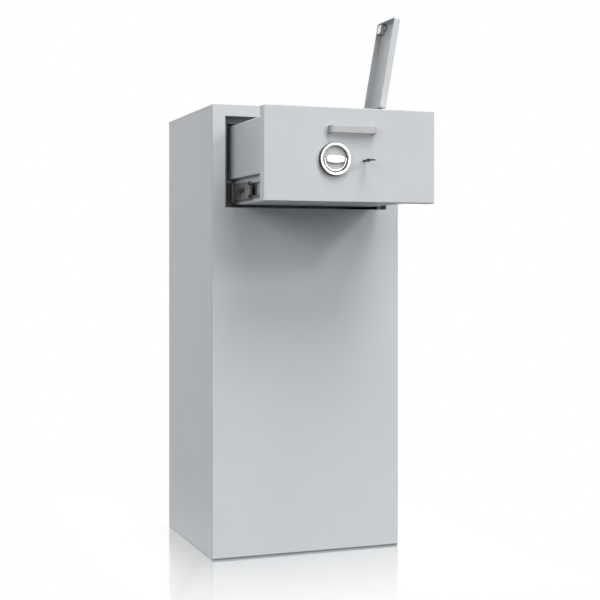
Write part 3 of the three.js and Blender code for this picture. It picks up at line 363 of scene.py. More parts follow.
def add_rectangle(bm, low, high, radius=0.0, segments=1):
    """A rectangular wire loop in the XY plane, with rounded corners."""
    (x0, y0), (x1, y1) = low, high
    verts = [bm.verts.new((x, y, 0)) for x, y in ((x0, y0), (x1, y0), (x1, y1), (x0, y1))]
    bm.faces.new(verts)
    if radius > 0:
        round_corners(bm, verts, radius, segments)
    loop = list(bm.faces[:][0].edges)
    bmesh.ops.delete(bm, geom=bm.faces[:], context="FACES_ONLY")
    return loop


def add_circle(bm, centre, radius, segments=CIRCLE_STEPS):
    """A round wire loop in the XY plane."""
    made = bmesh.ops.create_circle(
        bm,
        cap_ends=False,
        segments=segments,
        radius=radius,
        matrix=Matrix.Translation((*centre, 0)),
    )
    return made["verts"]


def add_rod(bm, radius, length, centre, turn):
    """A round rod, turned from upright about the axis that turn names."""
    made = bmesh.ops.create_cone(
        bm,
        cap_ends=True,
        segments=CIRCLE_STEPS,
        radius1=radius,
        radius2=radius,
        depth=length,
        matrix=Matrix.Translation(centre) @ Matrix.Rotation(pi / 2, 4, turn),
    )
    return made["verts"]


print("round loops have", CIRCLE_STEPS, "sides")

# %% [markdown]
# Edges are chosen by how sharply their two faces meet, and where it matters by where they lie.
# That holds after a size changes, which a list of edge numbers would not.

# %% Sheet-metal helpers
SHARP_ANGLE = 60
NEAR = 1e-6


def sharp_edges(bm, test=None, angle=SHARP_ANGLE):
    return [
        edge
        for edge in bm.edges
        if len(edge.link_faces) == 2
        and edge.calc_face_angle() > radians(angle)
        and (test is None or test(edge))
    ]


def round_edges(bm, edges, radius, segments):
    bmesh.ops.bevel(
        bm,
        geom=edges,
        offset=radius,
        affect="EDGES",
        segments=segments,
        profile=0.5,
        material=-1,
        clamp_overlap=True,
    )


def fill_loops(bm):
    bmesh.ops.triangle_fill(bm, use_beauty=True, use_dissolve=False, edges=bm.edges[:])
    bmesh.ops.recalc_face_normals(bm, faces=bm.faces)


def move_drawn(bm, made, move):
    moved = [item for item in made["geom"] if isinstance(item, bmesh.types.BMVert)]
    bmesh.ops.translate(bm, verts=moved, vec=move)


def draw_edges(bm, edges, move):
    """Draws a wall out of open edges."""
    move_drawn(bm, bmesh.ops.extrude_edge_only(bm, edges=edges), move)


def draw_faces(bm, move):
    """Draws a flat face out into a plate."""
    move_drawn(bm, bmesh.ops.extrude_face_region(bm, geom=bm.faces[:]), move)
    bmesh.ops.recalc_face_normals(bm, faces=bm.faces)


def thicken(bm, thickness):
    """Gives an open surface a wall on its inner side."""
    bmesh.ops.recalc_face_normals(bm, faces=bm.faces)
    bmesh.ops.solidify(bm, geom=bm.faces[:], thickness=thickness)


def fold_sheet(corners, run, radius, thickness, segments):
    """A sheet folded along a path of corners, all its folds parallel to the vector run."""
    bm = bmesh.new()
    verts = [bm.verts.new(corner) for corner in corners]
    edges = [bm.edges.new(pair) for pair in zip(verts, verts[1:])]
    draw_edges(bm, edges, run)
    round_edges(bm, [e for e in bm.edges if len(e.link_faces) == 2], radius, segments)
    thicken(bm, thickness)
    return bm


print("an edge counts as sharp from", SHARP_ANGLE, "degrees")

# %% [markdown]
# Many pieces of the model have the right shape already and only lack what makes metal look real:
# edges that are a little round and catch the light. Their triangles are copied, merged and
# dissolved into whole faces, and every edge of more than 45 degrees gets a small bevel.

# %% Dress a node as it is
MERGE_DISTANCE = 0.000005
FLAT_ANGLE = 1
DRESS_ANGLE = 45
DRESS_SEGMENTS = 2


def dress(node, body, slot, edge, finish=None):
    bm = bmesh.new()
    bm.from_mesh(frame["nodes"][node].data)
    bmesh.ops.remove_doubles(bm, verts=bm.verts, dist=MERGE_DISTANCE)
    bmesh.ops.dissolve_limit(bm, angle_limit=radians(FLAT_ANGLE), verts=bm.verts, edges=bm.edges)
    if edge > 0:
        round_edges(bm, sharp_edges(bm, angle=DRESS_ANGLE), edge, DRESS_SEGMENTS)
    finish_piece(node + "_dressed", bm, body, slot, [node], finish)


# The dark inner grey on the parts behind the aperture is a painted shade.
CABINET_NODES = {
    "rebate_frame": ("inner_paint", 0.0008),
    "deposit_collar": ("cabinet_paint", 0.0006),
    "base_plate": ("inner_paint", 0.0006),
    "drawer_deck": ("inner_paint", 0.0005),
    "slide_bracket_left": ("inner_paint", 0.0004),
    "slide_bracket_right": ("inner_paint", 0.0004),
    "slide_outer_left": ("zinc", 0.0002),
    "slide_outer_right": ("zinc", 0.0002),
    "base_hinge_leaf": ("zinc", 0.0002),
    "lid_hinge_pin": ("steel", 0.0003),
}
for node, (slot, edge) in CABINET_NODES.items():
    dress(node, "cabinet", slot, edge)

# %% [markdown]
# The casing is one sheet folded round three sides, with narrow returns at the front that carry
# the front plate. It is drawn as a path seen from above and folded by the helper, which gives
# every bend the same radius, as the press brake does.

# %% Cabinet casing
shell_low, shell_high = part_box("cabinet_shell")
SHELL_SHEET = 0.003
SHELL_BEND = 0.006
SHELL_RETURN = 0.0195
SHELL_EDGE = 0.0004

x0, y0, z0 = shell_low
x1, y1, z1 = shell_high
plan = [(x0 + SHELL_RETURN, y0), (x0, y0), (x0, y1), (x1, y1), (x1, y0), (x1 - SHELL_RETURN, y0)]
bm = fold_sheet([(x, y, z0) for x, y in plan], (0, 0, z1 - z0), SHELL_BEND, SHELL_SHEET, 8)
round_edges(bm, sharp_edges(bm), SHELL_EDGE, 2)
finish_piece("cabinet_casing", bm, "cabinet", "cabinet_paint", ["cabinet_shell"])

# %% [markdown]
# The front plate is a frame: an outer loop and the aperture's loop, bridged. Its upright edges are
# well rounded, as in the photograph, and the aperture's edge is only broken. The foot has a plain
# chamfer: it faces the floor and stays dark, which draws the line that the safe stands on.

# %% Front plate
plate_low, plate_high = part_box("front_plate")
rebate_low, rebate_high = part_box("rebate_frame")
REBATE_SHEET = 0.003
FRONT_EDGE = 0.0025
FOOT_EDGE = 0.0036
APERTURE_EDGE = 0.0009

aperture_low = (rebate_low.x + REBATE_SHEET, rebate_low.z + REBATE_SHEET)
aperture_high = (rebate_high.x - REBATE_SHEET, rebate_high.z - REBATE_SHEET)
bm = bmesh.new()
outer = add_rectangle(bm, (plate_low.x, plate_low.z), (plate_high.x, plate_high.z))
inner = add_rectangle(bm, aperture_low, aperture_high)
bmesh.ops.bridge_loops(bm, edges=outer + inner)
stand_up(bm)
shift(bm, 0, plate_high.y, 0)
draw_faces(bm, (0, plate_low.y - plate_high.y, 0))


def on_front(edge):
    return all(vert.co.y < plate_low.y + NEAR for vert in edge.verts)


def at_foot(edge):
    return all(vert.co.z < plate_low.z + NEAR for vert in edge.verts)


def on_outline(edge):
    return any(abs(vert.co.x) > plate_high.x - NEAR for vert in edge.verts)


small = sharp_edges(bm, lambda edge: on_front(edge) and not on_outline(edge))
round_edges(bm, small, APERTURE_EDGE, 3)
lower = sharp_edges(bm, lambda edge: on_front(edge) and at_foot(edge))
round_edges(bm, lower, FOOT_EDGE, 1)
large = sharp_edges(bm, lambda edge: on_front(edge) and on_outline(edge))
round_edges(bm, large, FRONT_EDGE, 6)
finish_piece("cabinet_front", bm, "cabinet", "cabinet_paint", ["front_plate"])

# %% [markdown]
# The top plate closes the cabinet and has the deposit throat's hole in it. Its outline and the
# hole are two loops that are filled together, so nothing has to be cut. Only the upper outer
# and inner edges are rounded, because the lower ones are welded.

# %% Top plate
top_low, top_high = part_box("top_plate")
collar_low, collar_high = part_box("deposit_collar")
SEAM = 0.0003
TOP_CORNER = 0.002
TOP_EDGE = 0.001
THROAT_CORNER = 0.006

bm = bmesh.new()
add_rectangle(bm, (top_low.x, top_low.y), (top_high.x, top_high.y), TOP_CORNER, 4)
throat_low = (collar_low.x - SEAM, collar_low.y - SEAM)
throat_high = (collar_high.x + SEAM, collar_high.y + SEAM)
add_rectangle(bm, throat_low, throat_high, THROAT_CORNER + SEAM, 8)
fill_loops(bm)
shift(bm, 0, 0, top_low.z)
draw_faces(bm, (0, 0, top_high.z - top_low.z))
upper = sharp_edges(bm, lambda edge: min(v.co.z for v in edge.verts) > top_high.z - NEAR)
round_edges(bm, upper, TOP_EDGE, 3)
finish_piece("cabinet_top", bm, "cabinet", "cabinet_paint", ["top_plate"])

# %% [markdown]
# The drawer front is a shallow pan: a face with holes for the spindle, the lock's nose and the
# pull handle's two screws, and four flanges folded back. The face is filled first, its border is
# drawn backwards, the folds are rounded, and solidify gives the wall.

# %% Drawer front
pan_low, pan_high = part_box("drawer_front_pan")
rose_low, rose_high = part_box("handle_rose")
key_low, key_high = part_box("safe_key")
pull_low, pull_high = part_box("pull_handle")
PAN_SHEET = 0.003
PAN_EDGE = 0.0022
LOCK_HOLE = 0.0061
SPINDLE_HOLE = 0.0084
SCREW_HOLE = 0.0023
RIM_EDGE = 0.0005
knob = ((rose_low.x + rose_high.x) / 2, (rose_low.z + rose_high.z) / 2)
keyhole = ((key_low.x + key_high.x) / 2, (key_low.z + key_high.z) / 2)

bm = bmesh.new()
outline = add_rectangle(bm, (pan_low.x, pan_low.z), (pan_high.x, pan_high.z))
add_circle(bm, knob, SPINDLE_HOLE)
add_circle(bm, keyhole, LOCK_HOLE)
for screw in ("pull_screw_left", "pull_screw_right"):
    screw_low, screw_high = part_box(screw)
    middle = (screw_low + screw_high) / 2
    add_circle(bm, (middle.x, middle.z), SCREW_HOLE, 16)
fill_loops(bm)
stand_up(bm)
shift(bm, 0, pan_low.y, 0)
draw_edges(bm, outline, (0, pan_high.y - pan_low.y, 0))
round_edges(bm, sharp_edges(bm), PAN_EDGE, 6)
thicken(bm, PAN_SHEET)
rim = sharp_edges(bm, lambda edge: max(v.co.y for v in edge.verts) > pan_high.y - 10 * NEAR)
round_edges(bm, rim, RIM_EDGE, 2)
finish_piece("drawer_front", bm, "drawer", "cabinet_paint", ["drawer_front_pan"])

# %% [markdown]
# The drawer's body is one folded sheet too. From the rim down each side: a hem turned inwards,
# the upper side, a ledge over the slide, the lower side, and the floor. The slide needs that step.

# %% Drawer body
tub_low, tub_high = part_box("drawer_tub")
inner_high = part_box("slide_inner_left")[1]
outer_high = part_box("slide_outer_left")[1]
TUB_SHEET = 0.0015
TUB_HEM = 0.010
TUB_BEND = 0.0016
LEDGE_OVER_SLIDE = 0.008

narrow = abs(inner_high.x) - SEAM
ledge = outer_high.z + LEDGE_OVER_SLIDE + TUB_SHEET / 2
side = [
    (tub_low.x + TUB_HEM, tub_high.z),
    (tub_low.x, tub_high.z),
    (tub_low.x, ledge - TUB_SHEET),
    (-narrow, ledge - TUB_SHEET),
    (-narrow, tub_low.z),
]
path = side + [(-x, z) for x, z in reversed(side)]
run = (0, tub_high.y - tub_low.y, 0)
bm = fold_sheet([(x, tub_low.y, z) for x, z in path], run, TUB_BEND, TUB_SHEET, 5)
finish_piece("drawer_body", bm, "drawer", "cabinet_paint", ["drawer_tub"])

# %% [markdown]
# The rest of the drawer's sheet metal, its slides and its lock are dressed as they are. So is the
# boltwork, which only shows from above or behind, but still belongs to the safe.

# %% Drawer, slides, locks and boltwork as they are
DRESSED = {
    "drawer": {
        "drawer_back": ("cabinet_paint", 0.0004),
        # the boltwork cover takes the same dark grey, a painted shade
        "boltwork_cover": ("inner_paint", 0.0005),
        "slide_inner_left": ("zinc", 0.0002),
        "slide_inner_right": ("zinc", 0.0002),
        "pull_screw_left": ("steel", 0.0003),
        "pull_screw_right": ("steel", 0.0003),
        "spindle_bush": ("brass", 0.0003),
        "guide_stud_left": ("steel", 0.0003),
        "guide_stud_right": ("steel", 0.0003),
        "lock_case": ("zinc", 0.0005),
        "lock_cover": ("zinc", 0.0004),
    },
    "middle_member_left": {
        "slide_buffer_left": ("black_plastic", 0.0006),
    },
    "middle_member_right": {
        "slide_buffer_right": ("black_plastic", 0.0006),
    },
    "turn_handle": {
        "bail_pin": ("steel", 0.0004),
        "handle_spindle": ("steel", 0.0005),
        "rack_pinion": ("steel", 0.0),
    },
    "boltwork": {
        "bolt_bar": ("steel", 0.0),
        "bolt_left": ("satin_chrome", 0.0),
        "bolt_right": ("satin_chrome", 0.0),
    },
    "key": {"lock_hub": ("cabinet_paint", 0.0003)},
    "locking_bolt": {"lock_bolt": ("brass", 0.0005)},
    "lid": {
        "lid_hinge_leaf": ("zinc", 0.0002),
        "lid_lock_case": ("dish_metal", 0.0003),
    },
    "lid_bolt": {"lid_lock_bolt": ("brass", 0.0003)},
    "lid_cylinder": {"lid_lock_cylinder": ("steel", 0.0003)},
}
for body, nodes in DRESSED.items():
    for node, (slot, edge) in nodes.items():
        dress(node, body, slot, edge)

# %% [markdown]
# The middle members of the slides are darker than the bright inner members beside them because
# they sit in shade, and that shade is painted into their zinc. They keep the zinc's slot, but have
# the darker finish.

# %% Middle slide members
MIDDLE_EDGE = 0.0003

for side_name in ("left", "right"):
    node, body = "slide_middle_" + side_name, "middle_member_" + side_name
    # painted shade: the darker zinc stands in for the shade on the middle members
    dress(node, body, "zinc", MIDDLE_EDGE, finish="zinc_painted_shade")

# %% [markdown]
# The ball cages sit between the slide members. Each is a thin strip bent to a channel, whose web
# runs along the outer of the two members, with a row of steel balls along either edge. The balls
# are icospheres, which have no poles. Strip and balls are blackened and greased, so they are dark
# behind the slot of the middle member.

# %% Ball cages
BALLS_PER_ROW = 5
BALL_RADIUS = 0.0019
CAGE_SHEET = 0.0005
CAGE_BEND = 0.0012
STRIP_DROP = 0.0004


def ball_cage(node, body):
    low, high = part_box(node)
    outwards = 1 if low.x + high.x > 0 else -1
    web, crest = (high.x, low.x) if outwards > 0 else (low.x, high.x)
    rows = (low.z + BALL_RADIUS, high.z - BALL_RADIUS)
    middle = crest + outwards * BALL_RADIUS
    bottom, top = rows[0] + STRIP_DROP, rows[1] - STRIP_DROP
    strip = [(middle, bottom), (web, bottom), (web, top), (middle, top)]
    corners = [(x, low.y, z) for x, z in strip]
    bm = fold_sheet(corners, (0, high.y - low.y, 0), CAGE_BEND, CAGE_SHEET, 3)
    pitch = (high.y - low.y) / BALLS_PER_ROW
    for row in rows:
        for i in range(BALLS_PER_ROW):
            place = Vector((middle, low.y + pitch * (i + 0.5), row))
            bmesh.ops.create_icosphere(
                bm, subdivisions=3, radius=BALL_RADIUS, matrix=Matrix.Translation(place)
            )
    finish_piece(node + "_balls", bm, body, "steel", [node], finish="dark_steel")


for side_name in ("left", "right"):
    ball_cage("outer_cage_" + side_name, "outer_balls_" + side_name)
    ball_cage("inner_cage_" + side_name, "inner_balls_" + side_name)

# %% [markdown]
# The pull handle is a flat bar bent into a bridge. Its path is folded with a generous radius and
# thickened, and then every long edge is rounded, so that it is kind to the fingers.

# %% Pull handle
PULL_SHEET = 0.005
PULL_CORNER = 0.008
PULL_EDGE = 0.0016

x0, y0, z0 = pull_low
x1, y1, z1 = pull_high
bridge = [(x0, y1), (x0, y0), (x1, y0), (x1, y1)]
bm = fold_sheet([(x, y, z0) for x, y in bridge], (0, 0, z1 - z0), PULL_CORNER, PULL_SHEET, 10)
round_edges(bm, sharp_edges(bm), PULL_EDGE, 4)
finish_piece("pull_bar", bm, "drawer", "grip_metal", ["pull_handle"])

# %% [markdown]
# Round parts are spun. A closed profile is drawn beside its axis and turned a full circle, with
# the last step merged into the first. The ring of the turning handle has a flat face, a crisp
# outer edge and a well-rounded inner one, so those two corners of its profile are rounded first.
# It sits on a black seat that is a little wider, a painted shade: the dark crescent that shows from
# the left stands in for the ring's shadow and the dark reflection in its wall.

# %% Spin a profile round an axis that points at the user
SPIN_STEPS = 96
SPIN_MERGE = 0.00001


def spun(profile, centre, y, rounding=()):
    """profile is a closed list of (radius, distance towards the user)."""
    bm = bmesh.new()
    corners = [bm.verts.new((r, -out, 0)) for r, out in profile]
    bm.faces.new(corners)
    for corner, radius in rounding:
        round_corners(bm, [corners[corner]], radius, 6)
    bmesh.ops.delete(bm, geom=bm.faces[:], context="FACES_ONLY")
    bmesh.ops.spin(
        bm,
        geom=bm.edges[:] + bm.verts[:],
        cent=(0, 0, 0),
        axis=(0, 1, 0),
        angle=2 * pi,
        steps=SPIN_STEPS,
        use_merge=True,
        use_duplicate=False,
    )
    bmesh.ops.remove_doubles(bm, verts=bm.verts, dist=SPIN_MERGE)
    bmesh.ops.recalc_face_normals(bm, faces=bm.faces)
    shift(bm, centre[0], y, centre[1])
    return bm


RING_INNER = 0.0275
SHADE_SEAT_HEIGHT = 0.0055
RING_STEP = 0.001
RING_OUTER_EDGE = 0.0007
RING_INNER_EDGE = 0.0024
ring_outer = (rose_high.x - rose_low.x) / 2
ring_height = rose_high.y - rose_low.y
face_outer = ring_outer - RING_STEP
ring = [
    (RING_INNER, SHADE_SEAT_HEIGHT),
    (face_outer, SHADE_SEAT_HEIGHT),
    (face_outer, ring_height),
    (RING_INNER, ring_height),
]
bm = spun(ring, knob, rose_high.y, [(2, RING_OUTER_EDGE), (3, RING_INNER_EDGE)])
finish_piece("handle_ring", bm, "drawer", "satin_chrome", ["handle_rose"])
print("ring stands out", round(1000 * ring_height, 1), "mm")
# painted shade: a black ring under the chrome one, for its shadow and its wall's dark reflection
shade_seat = [(RING_INNER, 0), (ring_outer, 0), (ring_outer, SHADE_SEAT_HEIGHT), (RING_INNER, SHADE_SEAT_HEIGHT)]
finish_piece("ring_seat_painted_shade", spun(shade_seat, knob, rose_high.y), "drawer", "black_plastic")

# %% [markdown]
# Inside the ring lies a stippled dish, with a raised lip and a slightly sunk floor. It is round, so
# its profile is spun as the ring's is. The points of its lip are given by how far in from the rim
# they lie and by a share of the dish's depth, and the floor's by their radius and such a share.

# %% Dish
dish_low, dish_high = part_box("turn_dish")
dish_radius = (dish_high.x - dish_low.x) / 2
dish_depth = dish_high.y - dish_low.y
DISH_LIP = ((0.0, 0.95), (0.0007, 1.0), (0.0016, 0.9), (0.0032, 0.45))
DISH_FLOOR = ((0.014, 0.36), (0.0, 0.33))

dish = [(0.0, 0.0), (dish_radius, 0.0)]
dish += [(dish_radius - inwards, share * dish_depth) for inwards, share in DISH_LIP]
dish += [(radius, share * dish_depth) for radius, share in DISH_FLOOR]
bm = spun(dish, knob, dish_high.y)
finish_piece("handle_dish", bm, "turn_handle", "dish_metal", ["turn_dish"])

# %% [markdown]
# The grip bar is a lens: widest in the middle and narrower at both ends. A strip is cut into
# slices, each slice is scaled to the lens's height, and the strip is extruded towards the user.
# A broad bevel on its front edge makes the soft face that the thumb pushes.

# %% Grip bar
grip_low, grip_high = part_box("grip_bar")
grip_half = (grip_high.x - grip_low.x) / 2
grip_top = (grip_high.z - grip_low.z) / 2
GRIP_END = 0.0052
GRIP_SLICES = 16
GRIP_EDGE = 0.002

bm = bmesh.new()
bmesh.ops.create_grid(bm, x_segments=GRIP_SLICES, y_segments=1, size=1)
for vert in bm.verts:
    share = vert.co.x
    half_height = grip_top - (grip_top - GRIP_END) * share * share
    vert.co = (grip_half * share, half_height * vert.co.y, 0)
front = grip_high.y - grip_low.y
draw_faces(bm, (0, 0, front))
rim = sharp_edges(bm, lambda edge: min(v.co.z for v in edge.verts) > front - NEAR)
round_edges(bm, rim, GRIP_EDGE, 5)
stand_up(bm)
shift(bm, knob[0], grip_high.y, knob[1])
finish_piece("grip", bm, "turn_handle", "satin_chrome", ["grip_bar"])

# %% [markdown]
# The bail is a stirrup that hangs from a pin through the grip bar. It is bent from a rounded bar,
# so a rounded section is spun half a circle downwards, and an eye sits on each of its two ends.

# %% Bail
bail_low, bail_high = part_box("fold_bail")
BAIL_WIDTH = 0.003
BAIL_THICKNESS = 0.004
BAIL_EYE = 0.003
BAIL_EDGE = 0.0011
BAIL_STEPS = 48
bail_radius = (bail_high.x - bail_low.x) / 2 - BAIL_WIDTH / 2
bail_y = (bail_low.y + bail_high.y) / 2

bm = bmesh.new()
section = [
    bm.verts.new((bail_radius + a * BAIL_WIDTH / 2, b * BAIL_THICKNESS / 2, 0))
    for a, b in ((-1, -1), (1, -1), (1, 1), (-1, 1))
]
bm.faces.new(section)
round_corners(bm, section, BAIL_EDGE, 4)
bmesh.ops.spin(
    bm,
    geom=bm.faces[:] + bm.edges[:] + bm.verts[:],
    cent=(0, 0, 0),
    axis=(0, 1, 0),
    angle=pi,
    steps=BAIL_STEPS,
    use_merge=False,
    use_duplicate=False,
)
bmesh.ops.recalc_face_normals(bm, faces=bm.faces)
for side in (-1, 1):
    add_rod(bm, BAIL_EYE, BAIL_WIDTH, (side * bail_radius, 0, 0), "Y")
shift(bm, knob[0], bail_y, knob[1])
finish_piece("bail_loop", bm, "bail", "satin_chrome", ["fold_bail"])

# %% [markdown]
# The key stands in its lock. Its bow is an oval plate with a ring hole, lying flat, and the shaft
# is a plain rod with a collar that stops it. The bit is inside the lock, so a block will do. The
# pieces of the key pass into each other a little, as a bow that is pressed on its shaft does.

# %% Key
KEY_RADIUS = 0.0022
KEY_THICKNESS = 0.0026
BOW_LENGTH = 0.018
BOW_HOLE = 0.0042
COLLAR_RADIUS = 0.0036
COLLAR_LENGTH = 0.003
KEY_BIT = 0.0046
KEY_BIT_LENGTH = 0.010
KEY_TIP = 0.001
KEY_ROOT = 0.0015
KEY_EDGE = 0.0006
HOLE_FORWARD = 0.001

bow_half = (key_high.x - key_low.x) / 2
bow_y = key_low.y + BOW_LENGTH / 2
bm = bmesh.new()
oval = add_circle(bm, (0, 0), 1.0, 48)
bmesh.ops.scale(bm, verts=oval, vec=(bow_half, BOW_LENGTH / 2, 1))
add_circle(bm, (0, -HOLE_FORWARD), BOW_HOLE)
fill_loops(bm)
draw_faces(bm, (0, 0, KEY_THICKNESS))
round_edges(bm, sharp_edges(bm), KEY_EDGE, 3)
shift(bm, keyhole[0], bow_y, keyhole[1] - KEY_THICKNESS / 2)


def key_rod(radius, start, end):
    middle = (keyhole[0], (start + end) / 2, keyhole[1])
    own = set(add_rod(bm, radius, end - start, middle, "X"))
    round_edges(bm, sharp_edges(bm, lambda edge: set(edge.verts) <= own), KEY_EDGE, 3)


neck = key_low.y + BOW_LENGTH
key_rod(KEY_RADIUS, neck - KEY_ROOT, key_high.y)
key_rod(COLLAR_RADIUS, neck, neck + COLLAR_LENGTH)
bit_place = (keyhole[0], key_high.y - KEY_TIP - KEY_BIT_LENGTH / 2, keyhole[1])
bit_size = Matrix.Diagonal((2 * KEY_BIT, KEY_BIT_LENGTH, KEY_THICKNESS, 1))
bmesh.ops.create_cube(bm, size=1, matrix=Matrix.Translation(bit_place) @ bit_size)
finish_piece("key_in_lock", bm, "key", "dark_steel", ["safe_key"])

# %% [markdown]
# The lid is a pan like the drawer front, but it stands open. It is easiest to draw it closed,
# about its hinge line, and to turn it afterwards by the angle that the hinge still has to close.
# Its inside shows with a darker grey, a painted shade, so its inward faces become a surface of
# their own.


# %% Deposit lid
def joint_named(name):
    return next(joint for joint in frame["joints"] if joint["name"] == name)


hinge = joint_named("lid_hinge")
still_to_close = Matrix.Rotation(radians(-hinge["range_deg"][0]), 4, "Y")
lid_turn = Matrix.Translation(Vector(hinge["pos_m"])) @ still_to_close
LID_LENGTH = 0.2163
LID_FROM_HINGE = 0.0033
LID_DEPTH = 0.015
LID_UNDER = 0.0115
LID_SHEET = 0.0015
LID_CORNER = 0.003
LID_EDGE = 0.0065
CYLINDER_HOLE = 0.0053
lid_low, lid_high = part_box("lid_pan")
cylinder_place = lid_turn.inverted() @ Vector(joint_named("lid_lock_turn")["pos_m"])

bm = bmesh.new()
far_corner = (-LID_FROM_HINGE - LID_LENGTH, lid_low.y)
outline = add_rectangle(bm, far_corner, (-LID_FROM_HINGE, lid_high.y), LID_CORNER, 5)
add_circle(bm, cylinder_place.xy, CYLINDER_HOLE)
fill_loops(bm)
shift(bm, 0, 0, LID_DEPTH - LID_UNDER)
draw_edges(bm, outline, (0, 0, -LID_DEPTH))
round_edges(bm, sharp_edges(bm), LID_EDGE, 5)
thicken(bm, LID_SHEET)
core = Vector((-LID_FROM_HINGE - LID_LENGTH / 2, (lid_low.y + lid_high.y) / 2, -LID_UNDER))


def part_of_lid(inner):
    """A copy of the lid with only its inner faces, or only its outer ones, turned open."""
    part = bm.copy()
    part.normal_update()
    other = [
        face
        for face in part.faces
        if (face.normal.dot(face.calc_center_median() - core) < 0) != inner
    ]
    bmesh.ops.delete(part, geom=other, context="FACES")
    bmesh.ops.transform(part, matrix=lid_turn, verts=part.verts)
    return part


finish_piece("deposit_lid", part_of_lid(False), "lid", "cabinet_paint", ["lid_pan"])
# painted shade: the inward faces get the darker grey
finish_piece(
    "deposit_lid_inside", part_of_lid(True), "lid", "cabinet_paint", finish="lid_inside_painted_shade"
)
bm.free()

# %% [markdown]
# The studio has a white surround. It is white to the camera and in reflections, and dim to the
# light that falls on things, so that the lamps decide how bright the paint is, and a third of the
# white is left to soften their shadows. A light path node tells these rays apart.

# %% White surround
WORLD_LIGHT = 0.32

world = bpy.data.worlds.new("studio")
scene.world = world
world.use_nodes = True
tree = world.node_tree
tree.nodes.clear()


def calculate(tree, operation, *values):
    node = tree.nodes.new("ShaderNodeMath")
    node.operation = operation
    for socket, value in zip(node.inputs, values):
        if isinstance(value, float):
            socket.default_value = value
        else:
            tree.links.new(value, socket)
    return node.outputs[0]


def seen_directly(tree):
    """One for camera, glossy and transmission rays, zero for the light that falls on things."""
    path = tree.nodes.new("ShaderNodeLightPath").outputs
    mirrored = calculate(tree, "MAXIMUM", path["Is Glossy Ray"], path["Is Transmission Ray"])
    return calculate(tree, "MAXIMUM", path["Is Camera Ray"], mirrored)


def grey_shader(tree, kind, tone, strength=None):
    node = tree.nodes.new("ShaderNode" + kind)
    node.inputs["Color"].default_value = (tone, tone, tone, 1)
    if strength is not None:
        node.inputs["Strength"].default_value = strength
    return node


def mix_shaders(tree, factor, first, second):
    node = tree.nodes.new("ShaderNodeMixShader")
    for socket, value in zip(node.inputs, (factor, first.outputs[0], second.outputs[0])):
        if isinstance(value, float):
            socket.default_value = value
        else:
            tree.links.new(value, socket)
    return node


dim = grey_shader(tree, "Background", 1, WORLD_LIGHT)
white = grey_shader(tree, "Background", 1, 1)
mixed = mix_shaders(tree, seen_directly(tree), dim, white)
world_output = tree.nodes.new("ShaderNodeOutputWorld")
tree.links.new(mixed.outputs[0], world_output.inputs["Surface"])
print("surround lights at", WORLD_LIGHT, "of its white")

# %% [markdown]
# The floor is a polished white table. Near the safe it shows its real shading: the shadow in the
# crease, and a mirror image of the front. Further out it fades to the white of the surround, by
# the distance from the safe's box, and more quickly beside the safe than before it. The light
# that bounces up from it is kept low. It lies a hair under the safe, so that no two faces share
# a plane.

# %% Floor
FLOOR_BOUNCE = 0.08
FLOOR_PAINT = 0.95
FLOOR_GLOW = 0.5
FLOOR_POLISH = 0.75
FLOOR_ROUGHNESS = 0.12
FLOOR_REACH = 14
FLOOR_DROP = 0.0004
FADE_LENGTH = 0.47
SIDE_FADE = 2.2

floor_material = bpy.data.materials.new("studio_floor")
floor_material.use_nodes = True
tree = floor_material.node_tree
tree.nodes.remove(tree.nodes["Principled BSDF"])
dull = grey_shader(tree, "BsdfDiffuse", FLOOR_BOUNCE)
paint = grey_shader(tree, "BsdfDiffuse", FLOOR_PAINT)
mirror = grey_shader(tree, "BsdfGlossy", 1)
mirror.inputs["Roughness"].default_value = FLOOR_ROUGHNESS
glow = grey_shader(tree, "Emission", 1, 1)

parts = tree.nodes.new("ShaderNodeSeparateXYZ")
tree.links.new(tree.nodes.new("ShaderNodeTexCoord").outputs["Object"], parts.inputs[0])
across = calculate(tree, "ABSOLUTE", parts.outputs["X"])
along = calculate(tree, "ABSOLUTE", parts.outputs["Y"])
beyond_x = calculate(tree, "SUBTRACT", across, cad_box[1][0])
beyond_y = calculate(tree, "SUBTRACT", along, cad_box[1][1])
beside = calculate(tree, "MULTIPLY", beyond_x, SIDE_FADE)
away = calculate(tree, "MAXIMUM", beside, beyond_y)
fade = remap(tree, away, 0.0, 1.0, 0.0, FADE_LENGTH)

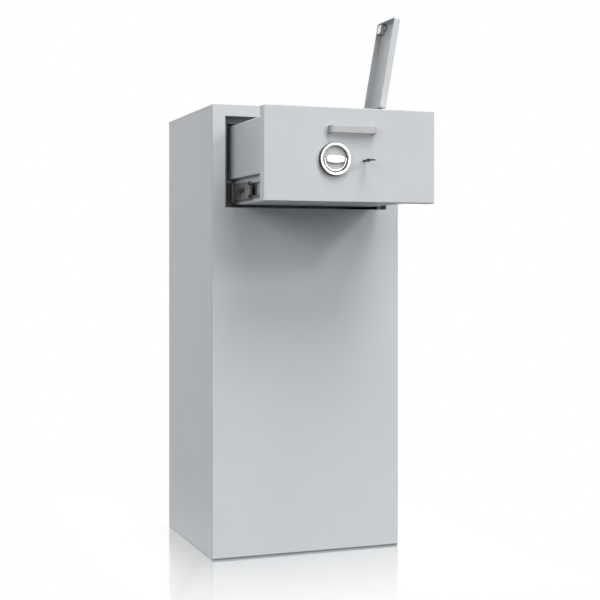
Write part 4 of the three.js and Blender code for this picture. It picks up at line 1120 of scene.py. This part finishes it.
table = mix_shaders(tree, FLOOR_GLOW, paint, glow)
polished = mix_shaders(tree, FLOOR_POLISH, table, mirror)
shown = mix_shaders(tree, fade, polished, glow)
surface = mix_shaders(tree, seen_directly(tree), dull, shown)
tree.links.new(surface.outputs[0], tree.nodes["Material Output"].inputs["Surface"])

bm = bmesh.new()
bmesh.ops.create_grid(bm, x_segments=1, y_segments=1, size=FLOOR_REACH)
shift(bm, 0, 0, -FLOOR_DROP)
floor_mesh = bpy.data.meshes.new("floor")
bm.to_mesh(floor_mesh)
bm.free()
floor_mesh.materials.append(floor_material)
floor = bpy.data.objects.new("floor", floor_mesh)
scene.collection.objects.link(floor)
print("floor fades over", FADE_LENGTH, "m")

# %% [markdown]
# The light is that of far, broad soft boxes. A sun lamp with a wide disc does the same: its light
# is as strong at the foot as at the top, and its shadows are soft. Two lamps in front come from
# high up, one of them a little to the right, so the drawer throws a long shadow down the front. A
# small key lamp gives the key and the ring their own shadows, and a low lamp makes the long shadow
# end gently. One lamp fills from the left, and the last ones are for the sides that face away.

# %% Lamps
SOFT_DISC = 26
SMALL_DISC = 9
LAMP_DISTANCE = 3


def soft_sun(name, azimuth, elevation, strength, disc=SOFT_DISC):
    """Light from an azimuth to the right of straight in front, and from an elevation."""
    data = bpy.data.lights.new(name, "SUN")
    data.angle = radians(disc)
    data.energy = strength
    lamp = bpy.data.objects.new(name, data)
    around, up = radians(azimuth), radians(elevation)
    towards = Vector((sin(around) * cos(up), -cos(around) * cos(up), sin(up)))
    lamp.rotation_euler = towards.to_track_quat("Z", "Y").to_euler()
    lamp.location = LAMP_DISTANCE * towards
    scene.collection.objects.link(lamp)


soft_sun("high_lamp", 15, 52, 1.28)
soft_sun("top_lamp", 0, 68, 0.72)
soft_sun("key_lamp", 34, 26, 0.5, SMALL_DISC)
soft_sun("low_lamp", 30, 14, 0.5)
soft_sun("left_lamp", -50, 20, 0.76)
soft_sun("left_rear_lamp", -100, 15, 0.3)
soft_sun("right_rear_lamp", 98, 25, 1.5)
soft_sun("rear_lamp", 190, 30, 1.2)
print("lamps:", len(bpy.data.lights))
